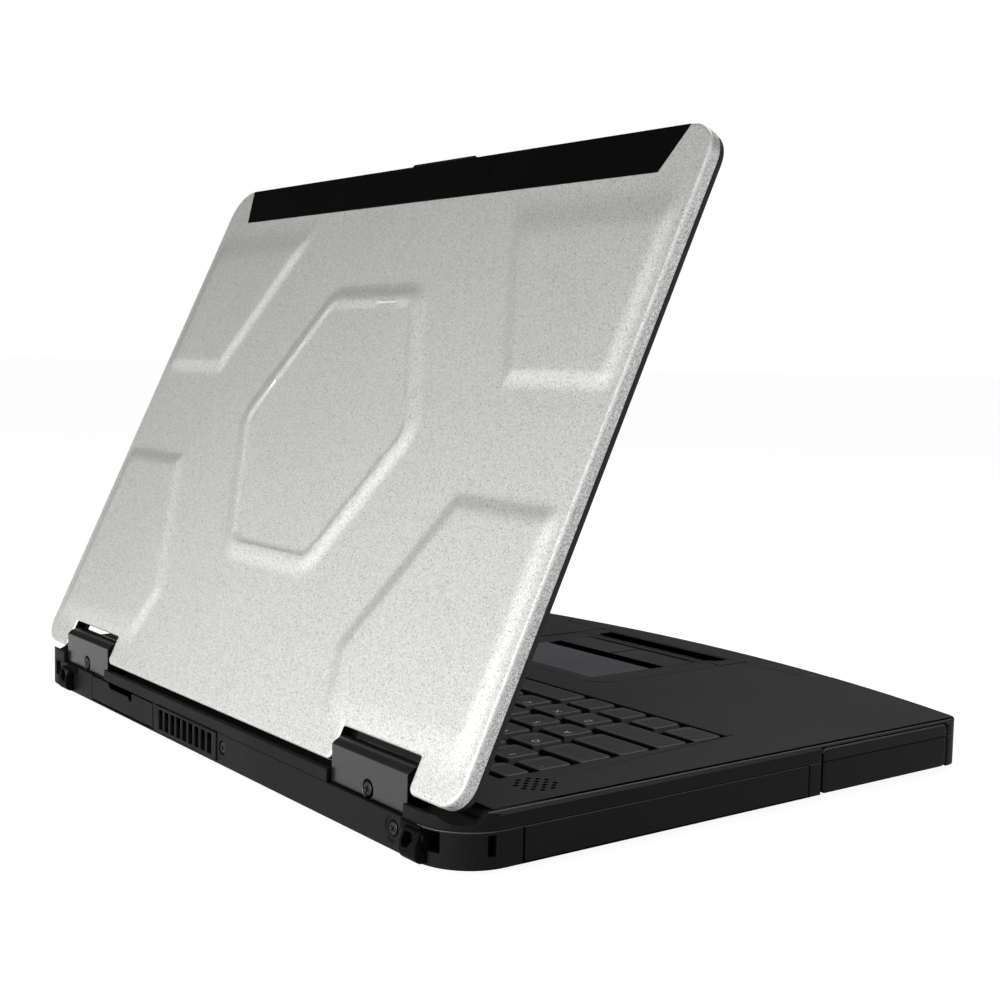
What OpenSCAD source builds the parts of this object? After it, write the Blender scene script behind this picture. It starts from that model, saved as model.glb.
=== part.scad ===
// Rugged laptop computer, lid part open. Millimetres.
// +X is the user's right, +Y is towards the hinges, +Z is up, z = 0 is the table.

/* [Body] */
// Width over the sides
body_width = 345; // [335:0.1:355]
// Depth from the middle of the bowed front to the back face
body_depth = 273.6; // [268:0.1:280]
// Height of the rubber feet under the bottom case
foot_height = 1.6; // [1.2:0.1:2.5]
// Height of the bottom case, floor to side seam
lower_height = 12.3; // [12:0.1:13]
// Height of the top case, side seam to deck
upper_height = 6.1; // [5.9:0.1:6.6]
// Radius of the two back corners, seen from above
corner_back_r = 20; // [14:0.5:24]
// Radius of the two front corners, seen from above
corner_front_r = 9; // [7:0.5:12]
// Radius of the long bow of the front edge
bow_radius = 625; // [600:1:660]
// Thickness of the side walls
wall = 2.4; // [2:0.1:2.8]
// Thickness of the bottom case floor
floor_t = 1.6; // [1.4:0.1:1.8]
// Thickness of the palm rest and deck
deck_t = 1.8; // [1.6:0.1:2]
// Width of the bevel round the side edges of the deck
edge_bevel = 1.4; // [0.8:0.1:1.8]
// Width of a parting gap between two fixed pieces
seam_gap = 0.15; // [0.1:0.05:0.2]
// Clearance round a piece that slides or turns
slide_gap = 0.35; // [0.3:0.05:0.4]

/* [Hinge] */
// Angle the lid stands open, from shut
lid_open = 64.7; // [60:0.1:70]
// Hinge line in front of the back face
hinge_inset = 7.26; // [7.1:0.01:7.5]
// Hinge line above the deck
hinge_rise = 2.5; // [2.4:0.1:2.6]
// Middle of each hinge in from the side of the machine
hinge_in = 52; // [50.5:0.5:54]
// Length of each hinge cover
hinge_len = 47; // [44:0.5:48]
// Back face of the hinge cover, behind the hinge line
cover_face = 5.4; // [5.2:0.1:5.6]
// Radius of the round top of the hinge cover
cover_r = 7.2; // [7:0.1:7.3]
// Front edge of the hinge cover, below the hinge line
cover_front = 1; // [0.5:0.1:1.2]
// Middle of each hinge cover's screw, below the hinge line
hinge_screw_down = 5.4; // [5.2:0.1:5.5]
// Thickness of the hinge cover
cover_t = 1.2; // [1:0.1:1.3]
// Radius of the dark hinge barrel
barrel_r = 3.8; // [3.5:0.1:3.9]
// Radius of the hinge pin
pin_r = 1.6; // [1.4:0.1:1.7]
// Running clearance round the hinge pin
pin_gap = 0.08; // [0.05:0.01:0.1]
// Length of the sunk trench behind the deck, front to back
trench_len = 15; // [14:0.5:15.5]
// Depth of the sunk trench below the deck
trench_depth = 4.4; // [4.3:0.1:4.6]
// Height of the back wall below the deck
back_step = 1.5; // [1.2:0.1:2]
// Radius cleared round the hinge line at the two back corners
corner_sweep = 6.8; // [6.5:0.1:6.8]

/* [Lid] */
// Distance of each side of the lid in from the side of the machine
lid_in = 1.5; // [0.5:0.1:3.5]
// Reach of the shut lid's free edge over the latch recess
lid_over = 2.675; // [2.6:0.025:2.8]
// Distance the lid reaches behind the hinge line
lid_tail = 3.385; // [3.2:0.01:3.6]
// Gap between the shut lid and the deck
lid_gap = 0.3; // [0.2:0.05:0.5]
// Thickness of the black display frame
bezel_t = 2.2; // [2:0.1:2.4]
// Thickness of the silver lid shell
shell_t = 5.1; // [4.8:0.1:5.4]
// Wall thickness of the lid shell
shell_wall = 1.5; // [1.2:0.1:1.7]
// Width of the solid rim of the lid shell
rim_w = 3; // [2.4:0.1:3.4]
// Corner radius of the lid at its free edge
lid_free_r = 14; // [10:0.5:18]
// Corner radius of the lid at its hinge edge
lid_hinge_r = 10; // [8:0.5:11]
// Bevel round the outer edge of the lid shell
lid_bevel = 1; // [0.6:0.1:1.2]
// Depth of the hinge notches in the lid
notch_depth = 12.5; // [12:0.1:13]
// Clearance between a hinge cover and its lid notch
notch_gap = 0.45; // [0.35:0.05:0.6]
// Height of the raised panels on the lid
relief_h = 1; // [0.6:0.1:1.2]
// Width of the bevels round the raised panels
relief_bevel = 7; // [5:0.5:8]
// Half width of the hexagon across its side points
hex_x = 70; // [66:0.5:74]
// Half width of the hexagon's two level edges
hex_level_x = 37; // [34:0.5:40]
// Middle of the hexagon, as a share of the lid's length
hex_mid = 0.5043; // [0.49:0.0001:0.52]
// Height of the hexagon, as a share of the lid's length
hex_share = 0.5228; // [0.5:0.0001:0.54]
// Level edge of the upper corner panels, above the middle of the hexagon
panel_hi = 23.5; // [21:0.5:26]
// Level edge of the lower corner panels, below the middle of the hexagon
panel_lo = 24.5; // [22:0.5:27]
// Lower edge of the lower corner panels, from the lid's hinge edge
panel_in = 8; // [6:0.5:14]
// Inner edges of the corner panels, from the middle of the lid
panel_x = 95; // [92:0.5:98]
// Step between the hexagon's crisp inner panel and its bevel
hex_step = 0.4; // [0.2:0.05:0.6]
// Width of the display frame at each side
frame_side = 18.7; // [17:0.1:22]
// Width of the display frame at the free edge
frame_top = 26.3; // [24:0.1:30]
// Width of the display frame at the hinge edge
view_s = 26; // [24:0.5:29]
// Thickness of the display panel
panel_t = 3.4; // [3:0.1:3.6]
// Width of the dark aerial strip, front to back
strip_w = 18.2; // [16:0.1:20]
// Distance of each end of the aerial strip in from the side of the lid
strip_in = 14.5; // [12:0.5:20]
// Taper of each end of the aerial strip
strip_taper = 7.5; // [4:0.5:9]
// Thickness of the aerial strip
strip_t = 0.9; // [0.7:0.1:1]
// Half length of the middle piece of the strip
strip_mid_x = 46.7; // [42:0.1:50]

/* [Lid latch] */
// Length of the latch slider's thumb bar
latch_len = 45; // [40:0.5:48]
// Middle of the latch slider from the middle of the machine
latch_x = -5.5; // [-8:0.5:-2]
// Reach of the slider from the free edge into the lid
latch_w = 6.4; // [5.6:0.1:7]
// Height of the slider
latch_t = 3.6; // [3.2:0.1:4]
// Travel of the slider
latch_travel = 4; // [3.5:0.1:4.5]
// Width of the hook stem
hook_w = 4; // [3.4:0.1:4.4]
// Reach of the hook toe beyond its stem
hook_toe = 3; // [2.6:0.1:3.2]
// Drop of the hook below the display frame
hook_drop = 6.4; // [6.2:0.1:6.6]

/* [Front] */
// Half width of the carry handle at the front
handle_x = 90; // [86:0.5:94]
// Handle's back edge behind the front of the machine
handle_d = 16.9; // [16:0.1:17.2]
// Slant of the handle's ends
handle_slant = 7; // [5:0.5:8]
// Handle's underside above the bottom of the case
handle_lift = 2.6; // [2.2:0.1:3]
// Travel of the carry handle
handle_travel = 30; // [24:0.5:32]
// Width of each handle arm
arm_w = 8; // [7:0.1:9]
// Thickness of each handle arm
arm_t = 3; // [2.6:0.1:3.2]
// Gap between the end of a handle arm and the battery's back edge
arm_back = 31.7; // [30:0.1:37]
// Middle of each handle arm from the middle of the machine
arm_x = 68; // [66.5:0.5:69]
// Left end of the latch recess
recess_x0 = -37; // [-40:0.5:-34]
// Right end of the latch recess
recess_x1 = 47; // [44:0.5:50]
// Length of the latch recess, front to back
recess_len = 11; // [10.6:0.1:11.4]
// Depth of the latch recess below the deck
recess_depth = 9; // [8.8:0.1:9.4]

/* [Touchpad] */
// Middle of the touchpad from the middle of the machine
pad_x = 5; // [3:0.5:6]
// Width of the touchpad plate
pad_w = 102; // [98:0.5:104]
// Deck between the touchpad plate and the keyboard well
pad_back = 15.3; // [14:0.1:17]
// Front edge of the plate, from the front of the machine
pad_front = 31; // [30.6:0.1:32]
// Corner radius of the touchpad plate
pad_r = 7; // [4:0.5:9]
// Thickness of the touchpad plate
pad_t = 3; // [2.8:0.1:3.4]
// Width of the button pair
button_w = 76; // [72:0.5:78]
// Front edge of the buttons, from the front of the machine
button_y = 37; // [36:0.5:38]
// Length of the buttons, front to back
button_len = 19; // [17:0.5:20]
// Travel of each button
button_travel = 0.8; // [0.6:0.1:1]

/* [Keyboard] */
// Deck at each side of the keyboard well
well_side = 30.2; // [29.5:0.1:30.5]
// Deck between the keyboard well and the hinge trench
well_back = 22.5; // [21.5:0.1:23]
// Length of the well, front to back
well_len = 110.4; // [110:0.1:111]
// Clearance round the field of keys in its well
field_gap = 0.8; // [0.6:0.1:0.8]
// Letter keys that would fill one row
field_keys = 14.817; // [14.8:0.001:14.9]
// Width of the key at the left end of the function row, in letter keys
escape_keys = 1.02; // [1:0.01:1.1]
// Width of the key at the left end of the number row, in letter keys
first_keys = 0.943; // [0.9:0.001:1]
// Width of the tab key, in letter keys
tab_keys = 1.44; // [1.4:0.01:1.5]
// Width of the capitals lock key, in letter keys
caps_keys = 1.675; // [1.6:0.005:1.75]
// Width of the left shift key, in letter keys
shift_keys = 2.173; // [2.1:0.001:2.25]
// Width of the key at the left end of the space row, in letter keys
corner_keys = 1.178; // [1.1:0.001:1.25]
// Width of the keys left of the space bar, in letter keys
left_keys = 0.995; // [0.95:0.001:1]
// Width of the keys right of the space bar, in letter keys
right_keys = 0.89; // [0.85:0.01:0.95]
// Length of a key row, front to back
row_pitch = 18.6; // [18.4:0.05:18.6]
// Length of the function row
fn_pitch = 14.4; // [13.6:0.1:14.6]
// Gap between neighbouring keys at the skirt
key_gap = 1.3; // [1.1:0.1:1.8]
// Slope of the key sides, skirt to top
key_slope = 1.9; // [1.5:0.1:2.2]
// Height of a key
key_h = 3.6; // [3.4:0.1:3.7]
// Top of the keys below the deck
key_sink = 0.7; // [0.5:0.1:0.9]
// Travel of a key
key_travel = 1.7; // [1.5:0.1:1.8]
// Width of the square guide post under a key
post_w = 3; // [2.6:0.1:3.4]
// Thickness of the key plate
plate_t = 1; // [0.8:0.1:1]

/* [Bays] */
// Deck between the battery's back edge and the keyboard well
batt_back = 16.7; // [16.5:0.1:20]
// Battery's front edge, from the front of the machine
batt_y = 32.6; // [32:0.1:34]
// Gap between the battery's inner end and the handle arm
batt_end_gap = 4.5; // [3.5:0.1:8]
// Height of the battery's outer end
batt_h = 17.2; // [16.8:0.1:17.3]
// Height of the battery inside the machine
batt_in_h = 15; // [14:0.1:15.2]
// Travel of the battery out of the side
batt_travel = 90; // [60:1:92]
// Rib between the battery bay and the drive bay
bay_rib = 7; // [6.5:0.1:8]
// Case behind the drive bay
drive_back = 27.4; // [26.5:0.1:29]
// Reach of the drive into the machine
drive_len = 126; // [120:0.5:127]
// Height of the drive inside the machine
drive_h = 8.4; // [8:0.1:8.5]
// Travel of the drive out of the side
drive_travel = 110; // [80:1:118]
// Width of the storage caddy beyond that of the battery
caddy_extra = 2; // [0:0.5:4]
// Reach of the storage caddy into the machine
caddy_len = 90; // [84:0.5:94]

/* [Back] */
// Middle of the exhaust grille, in from the right side
vent_in = 158.5; // [156.5:0.5:160.5]
// Width of the exhaust grille frame
vent_w = 56; // [54:0.5:58]
// Number of exhaust slots
vent_slots = 9; // [7:1:9]
// Gap between the exhaust grille and the back port door
door_gap = 3; // [2.5:0.1:4]
// Length of the back port door
door_len = 65; // [61:0.5:66]
// Height of the back port door
door_h = 10.6; // [10.2:0.1:10.8]
// Thickness of the back port door
door_t = 1.6; // [1.4:0.1:1.8]
// Travel of the back port door when it opens
door_swing = 85; // [60:1:88]
// Reach of the tether loops behind the back face
loop_reach = 4; // [3:0.1:5]
// Inner end of the left tether loop, in from the side
loop_in = 24.5; // [24:0.1:27]
// Inner end of the right tether loop, in from the side
loop_in_right = 40.5; // [38:0.5:43]
// Inner end of the right strap slot, in from the side
strap_in_right = 24; // [23:0.5:26]
// Width of each tether loop
loop_w = 9.5; // [9:0.1:10]
// Height of the tether loops
loop_h = 10.4; // [10:0.1:11]
// Thickness of the plate above each tether loop
loop_plate_t = 0.8; // [0.6:0.1:1]
// Depth behind the bar of a tether loop
loop_gap = 1.5; // [1.2:0.1:1.8]
// Width of the strap slot beside each tether loop
strap_w = 6; // [5.5:0.1:6]
// Radius of the dishes around the corner screws
dish_r = 4.3; // [3.8:0.1:4.4]
// Depth of the dishes around the corner screws
dish_depth = 0.6; // [0.4:0.1:0.8]
// Depth of the finger notch in the back port door
finger_depth = 1.1; // [0.8:0.1:1.2]

// Middle of the left back screw, in from the left side
screw_left_in = 34.2; // [34:0.1:35.5]
// Middle of the middle back screw, from the end of the exhaust grille
screw_mid_in = 4.4; // [3.5:0.1:6]
// Height of the back screws above the bottom of the case
screw_up = 7; // [6:0.5:8]
// Radius of the sunk seats of the back screws
seat_r = 2.7; // [2.6:0.1:3]
// Radius of the back screw heads
screw_r = 2.4; // [2.2:0.1:2.5]
// Depth of the sunk seats of the back screws
seat_depth = 1.4; // [1.2:0.1:1.6]
// Length of the port door in the right side
side_door_w = 72; // [64:0.5:76]
// Right port door's front edge, from the front of the machine
side_door_y = 124; // [120:0.5:128]
// Middle of the battery latch, from the battery's inner end
batt_latch_x = 16; // [14:0.5:18]
// Middle of the drive latch, from the drive's inner end
drive_latch_x = 13; // [11.5:0.5:15]
// Length of the thumb bar of an underside latch
under_latch_len = 14; // [12:0.5:16]
// Travel of an underside latch
under_latch_travel = 5; // [4:0.5:6]

/* [Inside] */
// Middle of each speaker, in from the side
speaker_in = 18.5; // [17:0.5:20]
// Middle of each speaker, in front of the back face
speaker_back = 46; // [42:0.5:50]
// Middle of the fan, in front of the back face
fan_back = 44; // [43:0.5:45]
// Radius of the fan rotor
fan_r = 19; // [16:0.5:20]
// Number of fan blades
fan_blades = 9; // [7:1:11]
// Thickness of the main board
board_t = 1.2; // [1:0.1:1.6]
// Height of the main board above the floor
board_lift = 2.4; // [2.2:0.1:2.6]

/* [Show] */
// Piece to draw, or all of them

/* [Hidden] */
$fn = 48;
eps = 0.01;
y_front = -(body_depth + loop_reach) / 2;
y_back = y_front + body_depth;
x_side = body_width / 2;
z_bot = foot_height;
z_floor = z_bot + floor_t;
z_seam = z_bot + lower_height;
z_deck = z_seam + upper_height;
z_under = z_deck - deck_t;
z_back = z_deck - back_step;
hinge_y = y_back - hinge_inset;
hinge_z = z_deck + hinge_rise;
hinge_x = x_side - hinge_in;
vent_x = x_side - vent_in;
door_x0 = vent_x + vent_w / 2 + door_gap;
door_x1 = door_x0 + door_len;
lid_y0 = hinge_y + lid_tail;
lid_z0 = z_deck + lid_gap;
lid_z1 = lid_z0 + bezel_t;
lid_z2 = lid_z1 + shell_t;
lid_x = x_side - lid_in;
fillet_x = x_side - corner_front_r;
fillet_y = y_front + bow_radius - sqrt(pow(bow_radius - corner_front_r, 2) - pow(fillet_x, 2));
deck_y1 = y_back - wall - trench_len;
z_trench = z_deck - trench_depth;
well_y1 = deck_y1 - well_back;
well_y0 = well_y1 - well_len;
well_x = x_side - well_side;
key_z1 = z_deck - key_sink;
key_z0 = key_z1 - key_h;
plate_z1 = key_z0 - key_travel - 0.1;
plate_z0 = plate_z1 - plate_t;
field_w = 2 * (well_x - field_gap);
key_pitch = field_w / field_keys;
pad_y0 = y_front + pad_front;
pad_y1 = well_y0 - pad_back;
btn_y0 = y_front + button_y;
btn_y1 = btn_y0 + button_len;
batt_y0 = y_front + batt_y;
batt_y1 = well_y0 - batt_back;
batt_len = x_side - arm_x - arm_w / 2 - batt_end_gap;
drive_y0 = batt_y1 + bay_rib;
drive_y1 = y_back - drive_back;
handle_y1 = y_front + handle_d;
rec_y0 = handle_y1 + 1.6;
rec_y1 = rec_y0 + recess_len;
lid_len = lid_y0 - rec_y1 + lid_over;
view_w = 2 * (lid_x - frame_side);
view_h = lid_len - view_s - frame_top;
strip_len = 2 * (lid_x - strip_in);
hex_y = lid_y0 - hex_mid * lid_len;
hex_half = hex_share * lid_len / 2;
bumper_x = [lid_x - 19, lid_x - 10, lid_x - 101];
back_screw_x = [vent_x - vent_w / 2 - screw_mid_in, -x_side + screw_left_in];
arm_len = batt_y1 - arm_back - handle_y1;
caddy_w = batt_y1 - batt_y0 + caddy_extra;
rec_z0 = z_deck - recess_depth;
z_board = z_floor + board_lift;
door_z0 = z_bot + 1.1;
power_x = well_x + 13;
power_y = well_y1 - 42;
side_y0 = y_front + side_door_y;
side_y1 = side_y0 + side_door_w;
batt_latch = [-x_side + batt_len + batt_latch_x, batt_y1 - 12];
drive_latch = [-x_side + drive_len + drive_latch_x, drive_y0 + 28];

// A box between two corners.
module span(x0, x1, y0, y1, z0, z1) {
  translate([x0, y0, z0])
    cube([x1 - x0, y1 - y0, z1 - z0]);
}

// A flat shape raised between two heights.
module slab(z0, z1) {
  translate([0, 0, z0])
    linear_extrude(z1 - z0)
      children();
}

// The same piece on both sides of the machine.
module both() {
  children();
  mirror([1, 0, 0])
    children();
}

// Turns pieces drawn with the lid shut to the angle at which it stands open.
module lid_turn() {
  translate([0, hinge_y, hinge_z])
    rotate([-lid_open, 0, 0])
      translate([0, -hinge_y, -hinge_z])
        children();
}

// A profile drawn as Y across and Z up, pulled from x0 to x1.
module pull_x(x0, x1) {
  translate([x0, 0, 0])
    rotate([90, 0, 90])
      linear_extrude(x1 - x0)
        children();
}

// A profile drawn as X across and Z up, pulled from y0 to y1.
module pull_y(y0, y1) {
  translate([0, y1, 0])
    rotate([90, 0, 0])
      linear_extrude(y1 - y0)
        children();
}

// A rectangle with one corner radius.
module rounded(x0, x1, y0, y1, r) {
  translate([x0 + r, y0])
    square([x1 - x0 - 2 * r, y1 - y0]);
  translate([x0, y0 + r])
    square([x1 - x0, y1 - y0 - 2 * r]);
  for (x = [x0 + r, x1 - r])
    for (y = [y0 + r, y1 - r])
      translate([x, y])
        circle(r);
}

// Outline of the machine from above, drawn in by i on every side.
module body_flat(i) {
  k = (bow_radius - i) / (bow_radius - corner_front_r);
  intersection() {
    translate([0, y_front + bow_radius])
      circle(bow_radius - i, $fn = 720);
    translate([-fillet_x * k, y_front - 1])
      square([2 * fillet_x * k, fillet_y - y_front + 1]);
  }
  translate([-x_side + i, fillet_y])
    square([2 * (x_side - i), y_back - corner_back_r - fillet_y]);
  translate([-x_side + corner_back_r, y_back - corner_back_r - 1])
    square([2 * (x_side - corner_back_r), corner_back_r + 1 - i]);
  for (s = [-1, 1]) {
    translate([s * fillet_x, fillet_y])
      circle(corner_front_r - i);
    translate([s * (x_side - corner_back_r), y_back - corner_back_r])
      circle(corner_back_r - i);
  }
}

// Plan of the carry handle with its slanted ends, grown by g, open at the front.
module handle_flat(g) {
  polygon([
    [-handle_x - g, y_front - 1], [handle_x + g, y_front - 1],
    [handle_x + g, y_front + handle_d / 2],
    [handle_x - handle_slant + g, handle_y1 + g], [-handle_x + handle_slant - g, handle_y1 + g],
    [-handle_x - g, y_front + handle_d / 2],
  ]);
}

// Plan of the latch recess with its cut back corners, grown by g.
module recess_flat(g) {
  c = 4;
  polygon([
    [recess_x0 - g, rec_y0 - g], [recess_x1 + g, rec_y0 - g], [recess_x1 + g, rec_y1 - c + g],
    [recess_x1 - c + g, rec_y1 + g], [recess_x0 + c - g, rec_y1 + g],
    [recess_x0 - g, rec_y1 - c + g],
  ]);
}

// Where the hinges stand, grown by g along the hinge line.
module hinge_zone(g, z0, z1) {
  both()
    span(hinge_x - hinge_len / 2 - g, hinge_x + hinge_len / 2 + g, deck_y1, y_back + 1, z0, z1);
}

// Room for a handle arm on each side, grown by g, from ya to yb.
module arm_room(g, ya, yb) {
  z = z_bot + handle_lift;
  both()
    span(arm_x - arm_w / 2 - g, arm_x + arm_w / 2 + g, ya, yb, z - g, z + arm_t + g);
}

module bottom_case() {
  color([0.16, 0.16, 0.17])
    difference() {
      union() {
        difference() {
          slab(z_bot, z_seam)
            body_flat(0);
          slab(z_floor, z_seam + 1)
            body_flat(wall);
        }
        // Guide sleeves of the handle arms
        arm_room(slide_gap + 1.2, handle_y1 + 2, handle_y1 + 38);
        both()
          span(arm_x - arm_w / 2, arm_x + arm_w / 2, handle_y1 + 2, handle_y1 + 38, z_floor - eps,
            z_bot + handle_lift);
      }
      arm_room(slide_gap, handle_y1 - 1, handle_y1 + 39);
      // Handle mouth in the front wall
      slab(z_bot + handle_lift - slide_gap, z_seam + 1)
        handle_flat(slide_gap);
      // Side mouths for battery, drive and storage caddy
      span(-x_side - 1, -x_side + 6 + slide_gap, batt_y0 - slide_gap, batt_y1 + slide_gap, z_bot - 1,
        z_seam + 1);
      span(-x_side - 1, -x_side + batt_len + 1, batt_y0 + 4, batt_y1 - 4, z_bot - 1, z_floor + 1);
      span(-x_side - 1, -x_side + wall + 1, drive_y0 - slide_gap, drive_y1 + slide_gap, z_bot + 0.4,
        z_seam + 1);
      span(x_side - wall - 1, x_side + 1, batt_y0 - seam_gap, batt_y0 + caddy_w + seam_gap, z_floor,
        z_seam + 1);
      // Back openings
      span(vent_x - vent_w / 2, vent_x + vent_w / 2, y_back - wall - 1, y_back + 1, z_bot + 1,
        z_seam + 1);
      span(door_x0 - slide_gap, door_x1 + slide_gap, y_back - door_t - slide_gap, y_back + 1,
        door_z0 - slide_gap, z_seam + 1);
      span(door_x0 + 2, door_x1 - 2, y_back - wall - 1, y_back + 1, door_z0 + 1.4, z_seam - 1.2);
      span(x_side - door_t - slide_gap, x_side + 1, side_y0 - slide_gap, side_y1 + slide_gap,
        door_z0 - slide_gap, z_seam + 1);
      span(x_side - wall - 1, x_side + 1, side_y0 + 2, side_y1 - 2, door_z0 + 1.4, z_seam - 1.2);
      // Slots of the two underside latches
      for (p = [batt_latch, drive_latch])
        span(p[0] - under_latch_len / 2 - slide_gap,
          p[0] + under_latch_len / 2 + under_latch_travel + slide_gap, p[1] - 3.5 - slide_gap,
          p[1] + 3.5 + slide_gap, z_bot - 1, z_floor + 1);
      // Lock slot in the left side
      span(-x_side - 1, -x_side + wall + 1, y_back - 17, y_back - 14, z_bot + 4.2, z_bot + 11);
      // Air intake under the fan
      for (i = [-4:4])
        span(vent_x - 16, vent_x + 16, fan_y() + 4 * i - 1, fan_y() + 4 * i + 1, z_bot - 1,
          z_floor + 1);
      // Sunk screw seats in the back face
      for (x = back_screw_x)
        translate([x, y_back + eps, z_bot + screw_up])
          rotate([90, 0, 0]) {
            cylinder(h = seat_depth + eps, r = seat_r);
            cylinder(h = wall + 2, r = screw_r * 0.42 + 0.1);
          }
      // Dish around each corner screw, and the slot that a strap leaves through
      translate([-x_side + screw_left_in, y_back + eps, z_bot + screw_up])
        rotate([90, 0, 0])
          cylinder(h = dish_depth + eps, r = dish_r);
      for (x = [-x_side + loop_in - loop_w + 1.8 - strap_w, x_side - strap_in_right])
        span(x, x + strap_w, y_back - corner_back_r / 2, y_back + 1, z_bot + 4.8, z_seam - 0.8);
    }
}
function fan_y() = y_back - fan_back;

// Edge bevels along the two long sides of the deck.
module side_bevels() {
  both()
    pull_y(y_front - 1, y_back + 1)
      polygon([
        [x_side - edge_bevel, z_deck + eps], [x_side + eps, z_deck - edge_bevel],
        [x_side + 1, z_deck + 1],
      ]);
}

module top_case() {
  color([0.2, 0.19, 0.2])
    difference() {
      union() {
        difference() {
          slab(z_seam, z_deck)
            body_flat(0);
          slab(z_seam - 1, z_under)
            body_flat(wall);
        }
        // Sunk trench that the hinge edge of the lid turns in
        intersection() {
          slab(z_seam, z_under + eps)
            body_flat(wall - eps);
          span(-x_side, x_side, deck_y1 - wall, y_back, z_trench - 1.4, z_deck);
        }
        // Frame down to the key plate
        span(-well_x - 1.8, well_x + 1.8, well_y0 - 1.8, well_y1 + 1.8, plate_z1, z_under + eps);
        // Tub of the latch recess
        slab(rec_z0 - 1.2, z_under + eps)
          recess_flat(1.2);
      }
      intersection() {
        slab(z_trench, z_deck + 1)
          body_flat(wall);
        span(-x_side, x_side, deck_y1, y_back, z_trench, z_deck + 1);
      }
      span(-x_side - 1, x_side + 1, deck_y1 + 6, y_back + 1, z_back, z_deck + 1);
      side_bevels();
      hinge_zone(seam_gap, z_seam - 1, z_deck + 1);
      // Corners cleared for the turning lid
      both()
        translate([hinge_x + hinge_len / 2, hinge_y, hinge_z])
          rotate([0, 90, 0])
            cylinder(h = hinge_in, r = corner_sweep, $fn = 96);
      slab(rec_z0, z_deck + 1)
        recess_flat(0);
      slab(z_seam - 1, z_deck + 1)
        handle_flat(slide_gap);
      // Keyboard well
      span(-well_x, well_x, well_y0, well_y1, z_seam - 1, z_deck + 1);
      // Touchpad plate
      slab(z_seam - 1, z_deck + 1)
        rounded(pad_x - pad_w / 2 - seam_gap, pad_x + pad_w / 2 + seam_gap, pad_y0 - seam_gap,
          pad_y1 + seam_gap, pad_r);
      // Battery mouth and storage caddy mouth
      span(-x_side - 1, -x_side + 8, batt_y0 - slide_gap, batt_y1 + slide_gap, z_seam - 1,
        z_bot + batt_h + slide_gap);
      span(x_side - 8, x_side + 1, batt_y0 - seam_gap, batt_y0 + caddy_w + seam_gap, z_seam - 1,
        z_bot + batt_h - 1.2);
      // Speaker holes, nine by four in a diamond
      both()
        for (i = [-3:3])
          for (j = [-3:3])
            if ((i + j) % 2 == 0 && abs(i) + abs(j) < 5)
              translate([speaker_in - x_side + 2.2 * i, y_back - speaker_back + 2.2 * j, z_under - 1])
                cylinder(h = deck_t + 2, r = 0.75, $fn = 14);
      // Power button
      translate([power_x, power_y, z_under - 1])
        cylinder(h = deck_t + 2, r = 5 + slide_gap, $fn = 32);
    }
}

module rubber_feet() {
  color([0.07, 0.07, 0.07])
    both()
      for (y = [y_front + 34, y_back - 24])
        slab(0, z_bot)
          rounded(x_side - 42, x_side - 12, y - 5, y + 5, 4.5);
}

module exhaust_grille() {
  z0 = z_bot + 1;
  pitch = (vent_w - 6) / vent_slots;
  color([0.2, 0.2, 0.2])
    difference() {
      span(vent_x - vent_w / 2 + seam_gap, vent_x + vent_w / 2 - seam_gap, y_back - wall,
        y_back + 0.5, z0 + seam_gap, z_seam - seam_gap);
      for (i = [0:vent_slots - 1])
        span(vent_x - vent_w / 2 + 3 + pitch * (i + 0.16), vent_x - vent_w / 2 + 3 + pitch * (i + 0.84),
          y_back - wall - 1, y_back + 1, z0 + 1.6, z_seam - 1.5);
    }
}

// Tether loop from x0 outwards: a bar that bows out over a hollow, under a thin plate, with a
// window beside it.
module tether_loop(x0) {
  x1 = x0 + loop_w;
  z0 = z_bot + 0.8;
  z1 = z0 + loop_h;
  frame_t = 1.4;
  toe_r = 3;
  union() {
    span(x0 - 4.2, x1 - 2, y_back, y_back + loop_plate_t, z_seam - 3.2, z_seam - seam_gap);
    difference() {
      pull_x(x0, x1) {
        translate([y_back + loop_reach - toe_r, z0 + toe_r])
          circle(toe_r);
        polygon([
          [y_back - 1.5, z0], [y_back + loop_reach - toe_r, z0],
          [y_back + loop_reach - toe_r, z0 + toe_r], [y_back + loop_reach, z0 + toe_r],
          [y_back + loop_reach, z0 + loop_h * 0.6], [y_back + loop_reach * 0.5, z1],
          [y_back - 1.5, z1],
        ]);
      }
      // Hollow behind the bar, open towards the strap slot
      span(x0 + frame_t, x1 + 1, y_back - 2, y_back + loop_gap, z0 + loop_h * 0.4, z1 - frame_t);
      // Window with a slanted side
      pull_y(y_back - 2, y_back + loop_reach + 1)
        polygon([
          [x0 + frame_t, z0 + loop_h * 0.42], [x0 + loop_w * 0.5, z0 + loop_h * 0.45],
          [x1 - frame_t, z1 - frame_t], [x0 + frame_t, z1 - frame_t],
        ]);
      // Back follows the case round its corner
      span(x0 - 1, x_side - corner_back_r + eps, y_back - 5, y_back, z_bot - 1, z_seam);
      translate([x_side - corner_back_r, y_back - corner_back_r, z_bot - 1])
        cylinder(h = z_seam - z_bot + 1, r = corner_back_r + eps);
    }
  }
}

module tether_loops() {
  color([0.12, 0.12, 0.12]) {
    mirror([1, 0, 0])
      tether_loop(x_side - loop_in);
    tether_loop(x_side - loop_in_right);
  }
}

// Outline of the hinge cover drawn in by i, Y across and Z up: a round top on a flat back.
module cover_flat(i, z0) {
  intersection() {
    union() {
      translate([hinge_y, hinge_z])
        circle(cover_r - i);
      translate([hinge_y, z0])
        square([cover_r, hinge_z - z0]);
    }
    translate([hinge_y - cover_r, z0])
      square([cover_r + cover_face - i, hinge_z + cover_r - z0]);
  }
}

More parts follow.
